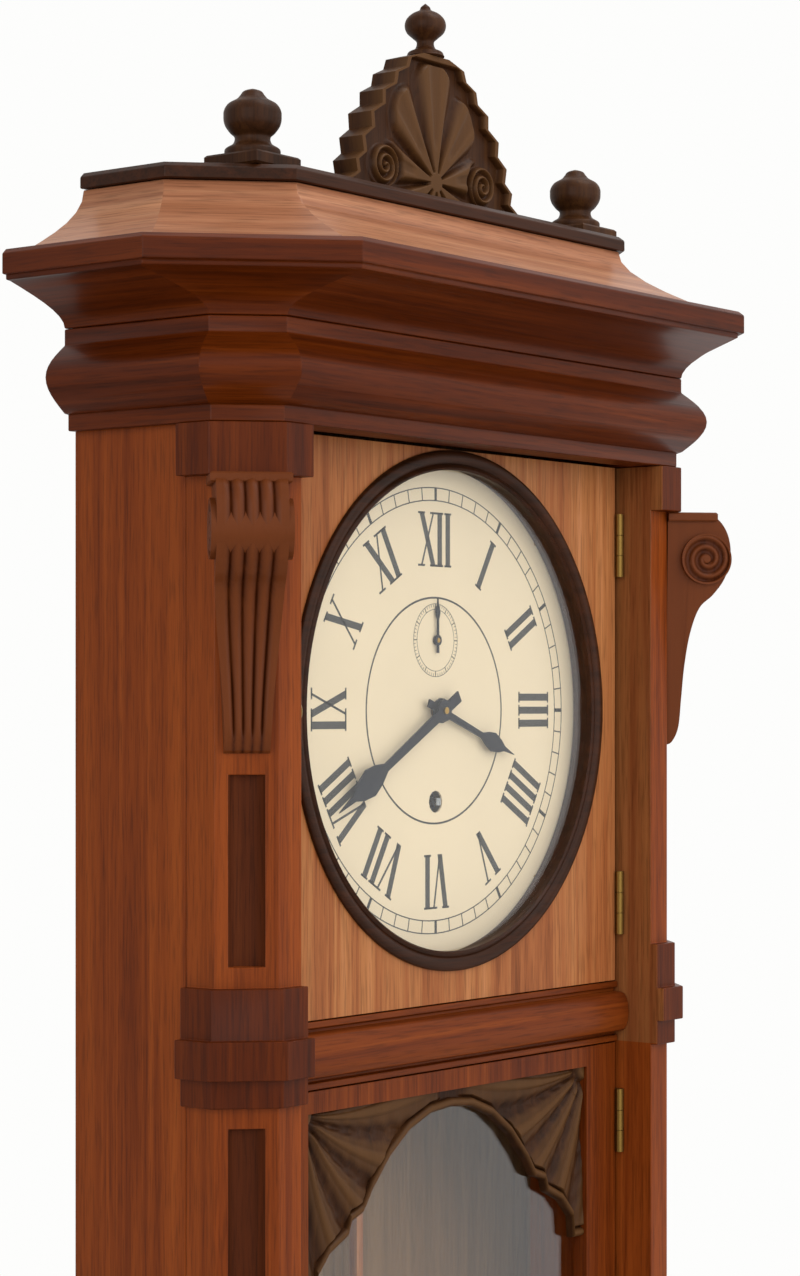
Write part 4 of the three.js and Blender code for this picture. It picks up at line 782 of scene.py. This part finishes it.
def crest_height(x, z):
    """A palmette of petals round a point low on the board, over two scrolls, inside a plain rim."""
    up = z - crest_low
    width = np.interp(z, crest_points[:, 1], crest_points[:, 0])
    edge = np.minimum(width - np.abs(x), np.minimum(up, crest_tall - up))
    rim = 1 - smoothstep(3.2 * MM, 4.6 * MM, edge)
    above_root = up - PALMETTE_ROOT * crest_tall
    angle = np.arctan2(x, above_root)
    reach = np.hypot(x, above_root) / crest_tall
    petal = np.abs(np.cos(angle * PETALS / 2))
    tip = 0.5 + 0.24 * np.cos(angle) ** 4 + 0.1 * petal
    vein = 0.16 * (1 - smoothstep(0.0, 0.16, 1 - petal)) * smoothstep(0.2, 0.3, reach)
    palmette = (smoothstep(0.0, 0.75, petal) - vein) * (1 - smoothstep(tip - 0.06, tip, reach))
    boss = 1 - smoothstep(0.06, 0.09, reach)
    side = np.abs(x) - SCROLL_OUT * crest_half
    rise = up - SCROLL_UP * crest_tall
    radius = np.hypot(side, rise) / crest_tall
    winding = 0.5 + 0.5 * np.cos(2 * np.pi * radius / SCROLL_PITCH - np.arctan2(rise, side))
    scroll = (0.25 + 0.75 * winding) * (1 - smoothstep(0.13, 0.155, radius))
    inside = np.maximum(np.maximum(scroll, palmette * smoothstep(0.15, 0.2, radius)), boss)
    return np.maximum(rim, inside * smoothstep(4.6 * MM, 6.5 * MM, edge))


rows = np.linspace(crest_low, crest_high, 280)
half = np.interp(rows, crest_points[:, 1], crest_points[:, 0])
carved_board("crest", np.stack([-half, rows], -1), np.stack([half, rows], -1), crest_height, 5 * MM,
             carved_walnut, 320)

# %% Carve the arch of the lower door
arch_points = half_outline("door_arch")
arch_top, arch_half = arch_points[:, 1].max(), arch_points[:, 0].max()
arch_points = arch_points[arch_points[:, 1] < arch_top - MM]
arch_points = arch_points[np.lexsort((-arch_points[:, 1], arch_points[:, 0]))]
ARCH_COLUMNS = 400
BEAD_RADIUS = 3 * MM


def arch_height(x, z):
    """Leaves that fan out of the upper corner, each with a rib, and a bead along the edge."""
    across = np.abs(x)
    edge = z - np.interp(across, arch_points[:, 0], arch_points[:, 1])
    bead = np.sqrt(np.clip(1 - ((edge - BEAD_RADIUS) / BEAD_RADIUS) ** 2, 0, 1))
    angle = np.arctan2(arch_top - z, arch_half * 1.02 - across)
    reach = np.hypot(arch_top - z, arch_half * 1.02 - across) / arch_half
    fan = np.abs(np.sin(angle * 8 + 2.2 * reach))
    rib = 0.3 * (1 - smoothstep(0.0, 0.12, 1 - fan))
    veins = 0.09 * np.cos(reach * 62 + fan * 7) * (1 - fan)
    leaf = (0.7 * smoothstep(0.0, 0.8, fan) + rib + veins) * smoothstep(0.05, 0.14, reach)
    boss = 1 - smoothstep(0.05, 0.08, reach)
    plain = smoothstep(0.9, 0.97, reach)
    carved = np.maximum(leaf * (1 - plain), boss) * smoothstep(6 * MM, 8 * MM, edge)
    return np.clip(np.maximum(bead, carved), 0, 1)


columns = np.linspace(-arch_half, arch_half, ARCH_COLUMNS)
lower = np.interp(np.abs(columns), arch_points[:, 0], arch_points[:, 1])
upper = np.full(ARCH_COLUMNS, arch_top)
carved_board("door_arch", np.stack([columns, lower], -1), np.stack([columns, upper], -1),
             arch_height, 4 * MM, carved_walnut, 180)

# %% The three shapes of a corbel
SCROLL = [(0, 0), (0.1, 0.015), (0.2, 0.08), (0.24, 0.21), (0.28, 0.35), (0.36, 0.49), (0.5, 0.6),
          (0.72, 0.66), (0.9, 0.73), (1, 0.82), (0.96, 0.92), (0.8, 0.99), (0.6, 1), (0, 1)]
CORBEL_REACH, CORBEL_HALF = 43 * MM, 23 * MM
CORBEL_CAP, CAP_REACH_SHARE = 6 * MM, 0.78
ROLL_RADIUS, ROLL_SHARE = 17 * MM, 0.8
BODY_TOP_HALF, BODY_FOOT_HALF = 20 * MM, 13 * MM


def corbel_body(tall):
    """Rows along the S-shaped side view, columns across it, reeded between two plain edges."""
    side = smooth_profile(SCROLL, 8) * [CORBEL_REACH, tall - CORBEL_CAP / 2]
    side[:, 0] = np.clip(side[:, 0], 0, CORBEL_REACH)
    side[:, 1] = np.clip(side[:, 1], 0, tall - CORBEL_CAP / 2)
    slope = np.gradient(side, axis=0)
    inward = np.stack([-slope[:, 1], slope[:, 0]], -1) / (np.hypot(*slope.T)[:, None] + 1e-9)
    across = np.linspace(-1, 1, 61)
    reeds = np.abs(np.cos(across * np.pi * 2.5)) ** 0.6
    raised = np.where(np.abs(across) > 0.84, 1, reeds)
    fade = smoothstep(0.03, 0.1, side[:, 1] / tall) * smoothstep(4 * MM, 8 * MM, side[:, 0])
    depth = 2.2 * MM * fade[:, None] * (1 - raised)
    half = BODY_FOOT_HALF + (BODY_TOP_HALF - BODY_FOOT_HALF) * smoothstep(0, 0.7, side[:, 1] / tall)
    points = np.stack([
        side[:, 0][:, None] + inward[:, 0][:, None] * depth, half[:, None] * across,
        side[:, 1][:, None] + inward[:, 1][:, None] * depth], axis=-1)
    return points, np.broadcast_to(raised, depth.shape)


def corbel_roll(tall):
    """A cylinder across the corbel whose two ends wind in a spiral towards an eye."""
    angle = np.linspace(0, 2 * np.pi, 96, endpoint=False)
    radius = np.linspace(0, 1, 40)
    winding = 0.5 + 0.5 * np.cos(2 * np.pi * radius[:, None] * 2.6 - angle)
    eye = 1 - smoothstep(0.14, 0.2, radius)[:, None]
    rim = smoothstep(0.88, 0.94, radius)[:, None]
    raised = np.maximum(np.maximum(winding, eye), rim)
    end = CORBEL_HALF - 1.8 * MM * (1 - raised)
    spread = np.concatenate([-end, end[::-1]])
    turn = np.concatenate([radius, radius[::-1]])[:, None] * ROLL_RADIUS
    centre = [CORBEL_REACH - ROLL_RADIUS, 0, tall * ROLL_SHARE]
    points = np.stack([turn * np.cos(angle), spread, turn * np.sin(angle)], axis=-1) + centre
    return points, np.concatenate([raised, raised[::-1]])


def corbel_cap(tall):
    """The small slab on top, as a ring of plans with an eased edge."""
    reach, arris = CORBEL_REACH * CAP_REACH_SHARE, 1 * MM
    rows = []
    for inset, level in ((arris, 0), (0, arris), (0, CORBEL_CAP - arris), (arris, CORBEL_CAP)):
        x, y, z = reach - inset, CORBEL_HALF - inset, tall - CORBEL_CAP + level
        rows.append([(0, -y, z), (x, -y, z), (x, y, z), (0, y, z)])
    points = np.array(rows)
    return points, np.ones(points.shape[:2])


# %% Carve the corbels, each facing an eighth of a turn outwards
DIAGONAL = 1 / math.sqrt(2)
for side, sign in (("left", -1), ("right", 1)):
    low, high = np.array(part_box(f"{side}_corbel"))
    tall = high[2] - low[2]
    inner_x = high[0] if sign < 0 else low[0]
    across = CORBEL_HALF * DIAGONAL
    root = np.array([inner_x + sign * across, high[1] - across, low[2]])
    outward, sideways = np.array([sign, -1, 0]) * DIAGONAL, np.array([1, sign, 0]) * DIAGONAL
    basis = np.array([outward, sideways, [0, 0, 1]])
    for part, (points, raised) in {
        "body": corbel_body(tall), "roll": corbel_roll(tall), "cap": corbel_cap(tall)}.items():
        reeded = part == "body"
        piece = grid_mesh(f"{side}_corbel_{part}", points @ basis + root, scroll_walnut_painted_shade,
                          closed_v=not reeded, closed_u=reeded, capped=part == "cap", raised=raised)
        if reeded:
            close_ends(piece)
        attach(piece, "case")
        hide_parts(f"{side}_corbel")
    print(side, "corbel carved")

# %% [markdown]
# ## The printed dial
#
# The dial carries Roman numerals, a minute track, a fine ring inside the numerals and a small ring
# for the seconds. Printing is a film of black paint, so each stroke is a thin flat shape standing a
# tenth of a millimetre off the enamel. The numerals are built from the three letters that they
# need, each a few straight strokes with serifs, set radially with their feet to the centre.

# %% The strokes of the numerals
PRINT_STANDOFF = 0.12 * MM
PRINT_DEPTH = 0.1 * MM
DIAL_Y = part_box("dial")[0][1]
LETTER_HEIGHT = 34 * MM
THICK, THIN, SERIF = 4.6 * MM, 1.5 * MM, 1.3 * MM
LETTER_WIDTH = {"I": 8.5 * MM, "V": 17 * MM, "X": 17 * MM}


def bar(x0, z0, x1, z1, width):
    """The four corners of a straight stroke whose ends are level, in the letter's own plane."""
    half = width / 2
    return np.array([[x0 - half, z0], [x0 + half, z0], [x1 + half, z1], [x1 - half, z1]])


def letter(kind):
    """The strokes of I, V or X, centred on x, from the foot at 0 to the letter's height."""
    h, w = LETTER_HEIGHT, LETTER_WIDTH[kind]
    reach = w / 2 - THICK / 2
    if kind == "I":
        strokes = [bar(0, 0, 0, h, THICK)]
        feet = [(0, 0), (0, h)]
    elif kind == "V":
        strokes = [bar(-reach, h, 0, 0, THICK), bar(reach, h, 0, 0, THIN)]
        feet = [(-reach, h), (reach, h)]
    else:
        strokes = [bar(-reach, h, reach, 0, THICK), bar(reach, h, -reach, 0, THIN)]
        feet = [(-reach, h), (reach, h), (-reach, 0), (reach, 0)]
    for x, z in feet:
        inward = z - SERIF if z else z
        strokes.append(bar(x, inward, x, inward + SERIF, THICK + 2.4 * MM))
    return strokes


def clockwise(angle):
    """The matrix that turns rows of (x, z) clockwise, as seen from the front."""
    return np.array([[math.cos(angle), -math.sin(angle)], [math.sin(angle), math.cos(angle)]])


def numeral(text, foot_radius, angle):
    """Letters set side by side, turned clockwise by the angle about the dial's centre."""
    widths = [LETTER_WIDTH[kind] for kind in text]
    starts = np.cumsum([0, *widths[:-1]]) - sum(widths) / 2
    return [
        (stroke + [start + width / 2, foot_radius]) @ clockwise(angle)
        for kind, start, width in zip(text, starts, widths) for stroke in letter(kind)]


# %% Rings, ticks and the printed plates
def ring(centre_z, inner, outer, segments=120):
    """Quads between two circles about a point on the dial's upright middle line."""
    angle = np.linspace(0, 2 * np.pi, segments + 1)
    unit = np.stack([np.sin(angle), np.cos(angle)], axis=-1)
    near, far = unit * inner, unit * outer
    quads = np.stack([near[:-1], far[:-1], far[1:], near[1:]], axis=1)
    return list(quads + [0, centre_z])


def ticks(centre_z, inner, outer, count, width):
    """Radial strokes, evenly spread round a circle."""
    stroke = bar(0, inner, 0, outer, width)
    return [stroke @ clockwise(angle) + [0, centre_z] for angle in np.arange(count) * 2 * np.pi / count]


def printing(name, quads, body, face=DIAL_Y):
    """Thin closed plates, one for each quad of (x, z) corners, standing just off a front face."""
    flat = np.array(quads)
    corners = np.insert(flat, 1, face - PRINT_STANDOFF, axis=-1)
    back = corners + [0, PRINT_DEPTH, 0]
    points = np.concatenate([corners, back], axis=1).reshape(-1, 3)
    base = np.arange(len(flat))[:, None, None] * 8
    faces = np.array([
        [0, 1, 2, 3], [7, 6, 5, 4], [0, 4, 5, 1], [1, 5, 6, 2], [2, 6, 7, 3], [3, 7, 4, 0]])
    mesh = bpy.data.meshes.new(name)
    mesh.from_pydata(points.tolist(), [], (base + faces).reshape(-1, 4).tolist())
    work = bmesh.new()
    work.from_mesh(mesh)
    bmesh.ops.recalc_face_normals(work, faces=work.faces)
    work.to_mesh(mesh)
    work.free()
    mesh.materials.append(black_print)
    piece = bpy.data.objects.new(name, mesh)
    bpy.context.scene.collection.objects.link(piece)
    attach(piece, body)
    print(name, "plates", len(flat))


# %% Print the dial
NUMERALS = ["XII", "I", "II", "III", "IIII", "V", "VI", "VII", "VIII", "IX", "X", "XI"]
FOOT_RADIUS = 90 * MM
INNER_CIRCLE, OUTER_CIRCLE = (131 * MM, 131.7 * MM), (139 * MM, 139.7 * MM)
MINUTE_TICK = (131 * MM, 139.5 * MM)
SECONDS_Z = 44 * MM
strokes = [s for i, text in enumerate(NUMERALS) for s in numeral(text, FOOT_RADIUS, i * math.pi / 6)]
printing("hour_numerals", strokes, "case")
track = ring(0, *INNER_CIRCLE) + ring(0, *OUTER_CIRCLE)
track += ticks(0, *MINUTE_TICK, 60, 0.8 * MM) + ticks(0, *MINUTE_TICK, 12, 2.4 * MM)
printing("minute_track", track, "case")
printing("inner_ring", ring(0, 70 * MM, 71.2 * MM), "case")
seconds = ring(SECONDS_Z, 19.2 * MM, 19.5 * MM, 60) + ring(SECONDS_Z, 22.7 * MM, 23 * MM, 60)
seconds += ticks(SECONDS_Z, 20.8 * MM, 22.8 * MM, 60, 0.3 * MM)
seconds += ticks(SECONDS_Z, 19.4 * MM, 22.8 * MM, 12, 0.6 * MM)
printing("seconds_ring", seconds, "case")

# %% Mark the beat scale in half degrees of the pendulum's swing
scale_low, scale_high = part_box("beat_scale")
BEND_Z = 75.8 * MM
BEAT_MARKS = 6
MIDDLE_MARK, DEGREE_MARK, HALF_DEGREE_MARK = 9 * MM, 7 * MM, 4 * MM
arm = BEND_Z - scale_high[2]
marks = []
for half_degrees in range(-BEAT_MARKS, BEAT_MARKS + 1):
    x = arm * math.tan(math.radians(half_degrees / 2))
    length = HALF_DEGREE_MARK if half_degrees % 2 else DEGREE_MARK
    if half_degrees == 0:
        length = MIDDLE_MARK
    marks.append(bar(x, scale_high[2] - length, x, scale_high[2] - 1 * MM, 0.5 * MM))
printing("beat_scale_marks", marks, "case", scale_low[1])

# %% [markdown]
# ## Screws
#
# Hinges, dial and front plate are held by slotted screws. A head is ruled in rows across its slot:
# a low dome, whose rows between the slot's two walls lie deeper. Within one set of heads no two
# slots end up at one angle.


# %% Slotted screw heads
def slotted_heads(name, places, facing, radius, proud, material, body):
    """Closed screw heads at the places, domed towards the facing direction, in one piece."""
    wall = 0.16 * radius
    across = np.concatenate([
        np.linspace(-radius, -wall, 9), [-wall, wall], np.linspace(wall, radius, 9)])
    deeper = np.isin(np.arange(len(across)), (9, 10)) * 0.8 * proud
    chord = np.sqrt(np.clip(radius ** 2 - across ** 2, 0, None))
    along = chord[:, None] * np.sin(np.linspace(-math.pi / 2, math.pi / 2, 15))
    rise = proud * (1 - 0.6 * (across[:, None] ** 2 + along ** 2) / radius ** 2) - deeper[:, None]
    top = np.stack([np.repeat(across[:, None], 15, axis=1), along, rise], axis=-1)
    skirt = top[:, [0, -1]] * [1, 1, 0] - [0, 0, 0.3 * MM]
    head = np.concatenate([skirt[:, :1], top, skirt[:, 1:]], axis=1)
    facing = np.array(facing, dtype=float)
    side = np.array([0.0, 0.0, 1.0])
    heads = []
    for number, place in enumerate(places):
        turn = 0.5 + 1.3 * number
        first = side * math.cos(turn) + np.cross(facing, side) * math.sin(turn)
        heads.append(head @ np.array([first, np.cross(facing, first), facing]) + np.array(place))
    index = np.arange(head.shape[0] * head.shape[1]).reshape(head.shape[:2])
    after = np.roll(index, -1, axis=1)
    quads = np.stack([index[:-1], index[1:], after[1:], after[:-1]], axis=-1).reshape(-1, 4)
    faces = quads[None] + np.arange(len(heads))[:, None, None] * index.size
    piece = skin(name, np.array(heads), faces.reshape(-1, 4).tolist(), material, math.radians(35))
    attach(piece, body)


# %% Screw down the front plate and the dial
PILLAR_INSET_X, PILLAR_INSET_Z = 8 * MM, 9 * MM
DIAL_SCREW_RADIUS = 155 * MM
plate_low, plate_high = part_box("front_plate")
plate_x = plate_high[0] - PILLAR_INSET_X
plate_z = (plate_low[2] + PILLAR_INSET_Z, plate_high[2] - PILLAR_INSET_Z)
slotted_heads("front_plate_screws", [(x, plate_low[1], z) for x in (-plate_x, plate_x) for z in plate_z],
              (0, -1, 0), 3.4 * MM, 1.1 * MM, blued_steel, "case")
sides = (-DIAL_SCREW_RADIUS * DIAGONAL, DIAL_SCREW_RADIUS * DIAGONAL)
slotted_heads("dial_screws", [(x, DIAL_Y, z) for x in sides for z in sides],
              (0, -1, 0), 2.2 * MM, 0.6 * MM, brass, "case")

# %% Screw down the hinges, three screws to a leaf
LEAF_THICKNESS, LEAF_GAP = 1.2 * MM, 0.8 * MM
SCREW_INSET, SCREW_LINE = 7 * MM, 4.6 * MM
for door in ("dial", "pendulum"):
    for end in ("upper", "lower"):
        leaf_low, leaf_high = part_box(f"{door}_{end}_hinge_case_leaf")
        levels = np.linspace(leaf_low[2] + SCREW_INSET, leaf_high[2] - SCREW_INSET, 3)
        case_face = leaf_high[0] - LEAF_THICKNESS
        for body, face, facing in (("case", case_face, -1), (f"{door}_door", case_face - LEAF_GAP, 1)):
            slotted_heads(f"{door}_{end}_hinge_{body}_screws",
                          [(face, leaf_high[1] - SCREW_LINE, level) for level in levels],
                          (facing, 0, 0), 2.1 * MM, 0.3 * MM, old_brass, body)

# %% [markdown]
# ## Floor and light
#
# The clock hangs before plain white, in soft light from the front and above. The sky is white where
# the camera sees it straight, in a mirror or through glass, and lights the clock at a lower plain
# level. The pale floor keeps the shadow. The lamps are wide, so their edges are soft and neither
# pane shows a glare.

# %% Floor
FLOOR_DROP = 0.3
FLOOR_HALF = 2.2
floor_z = cad_box[0][2] - FLOOR_DROP
floor_mesh = bpy.data.meshes.new("floor")
floor_mesh.from_pydata(
    [(-FLOOR_HALF, -FLOOR_HALF, floor_z), (FLOOR_HALF, -FLOOR_HALF, floor_z),
     (FLOOR_HALF, FLOOR_HALF, floor_z), (-FLOOR_HALF, FLOOR_HALF, floor_z)], [], [(0, 1, 2, 3)])
floor = bpy.data.objects.new("floor", floor_mesh)
bpy.context.scene.collection.objects.link(floor)
floor_mesh.materials.append(painted("pale_floor", "#e8e6e2", 0.8))
print("floor", round(floor_z, 3), "m")

# %% Sky
world = bpy.data.worlds.new("studio")
world.use_nodes = True
bpy.context.scene.world = world
tree = world.node_tree
background = tree.nodes["Background"]
path = add_node(tree, "ShaderNodeLightPath")
seen = path.outputs["Is Camera Ray"]
for ray in ("Is Glossy Ray", "Is Transmission Ray"):
    either = add_node(tree, "ShaderNodeMath", {0: seen, 1: path.outputs[ray]}, operation="MAXIMUM")
    seen = either.outputs["Value"]
level = add_node(tree, "ShaderNodeMapRange", {"Value": seen, "To Min": 0.36, "To Max": 1.0})
tree.links.new(level.outputs["Result"], background.inputs["Strength"])
background.inputs["Color"].default_value = linear("#fdfdfc")
print("sky nodes", len(tree.nodes))


# %% Lamps
def lamp(name, place, aim, size, power):
    """A square soft lamp that faces a point."""
    data = bpy.data.lights.new(name, "AREA")
    data.size = size
    data.energy = power
    light = bpy.data.objects.new(name, data)
    bpy.context.scene.collection.objects.link(light)
    light.location = place
    direction = np.array(aim) - np.array(place)
    flat = math.hypot(direction[0], direction[1])
    light.rotation_euler = (math.atan2(flat, -direction[2]), 0, math.atan2(-direction[0], direction[1]))


lamp("key", (0.0, -1.8, 0.6), (0, 0, 0), 2.4, 24.5)
lamp("top", (0.7, -0.9, 2.6), (0, 0, 0), 1.6, 29)
lamp("fill", (-2.4, -0.9, 0.6), (0, 0, 0), 2.0, 23)
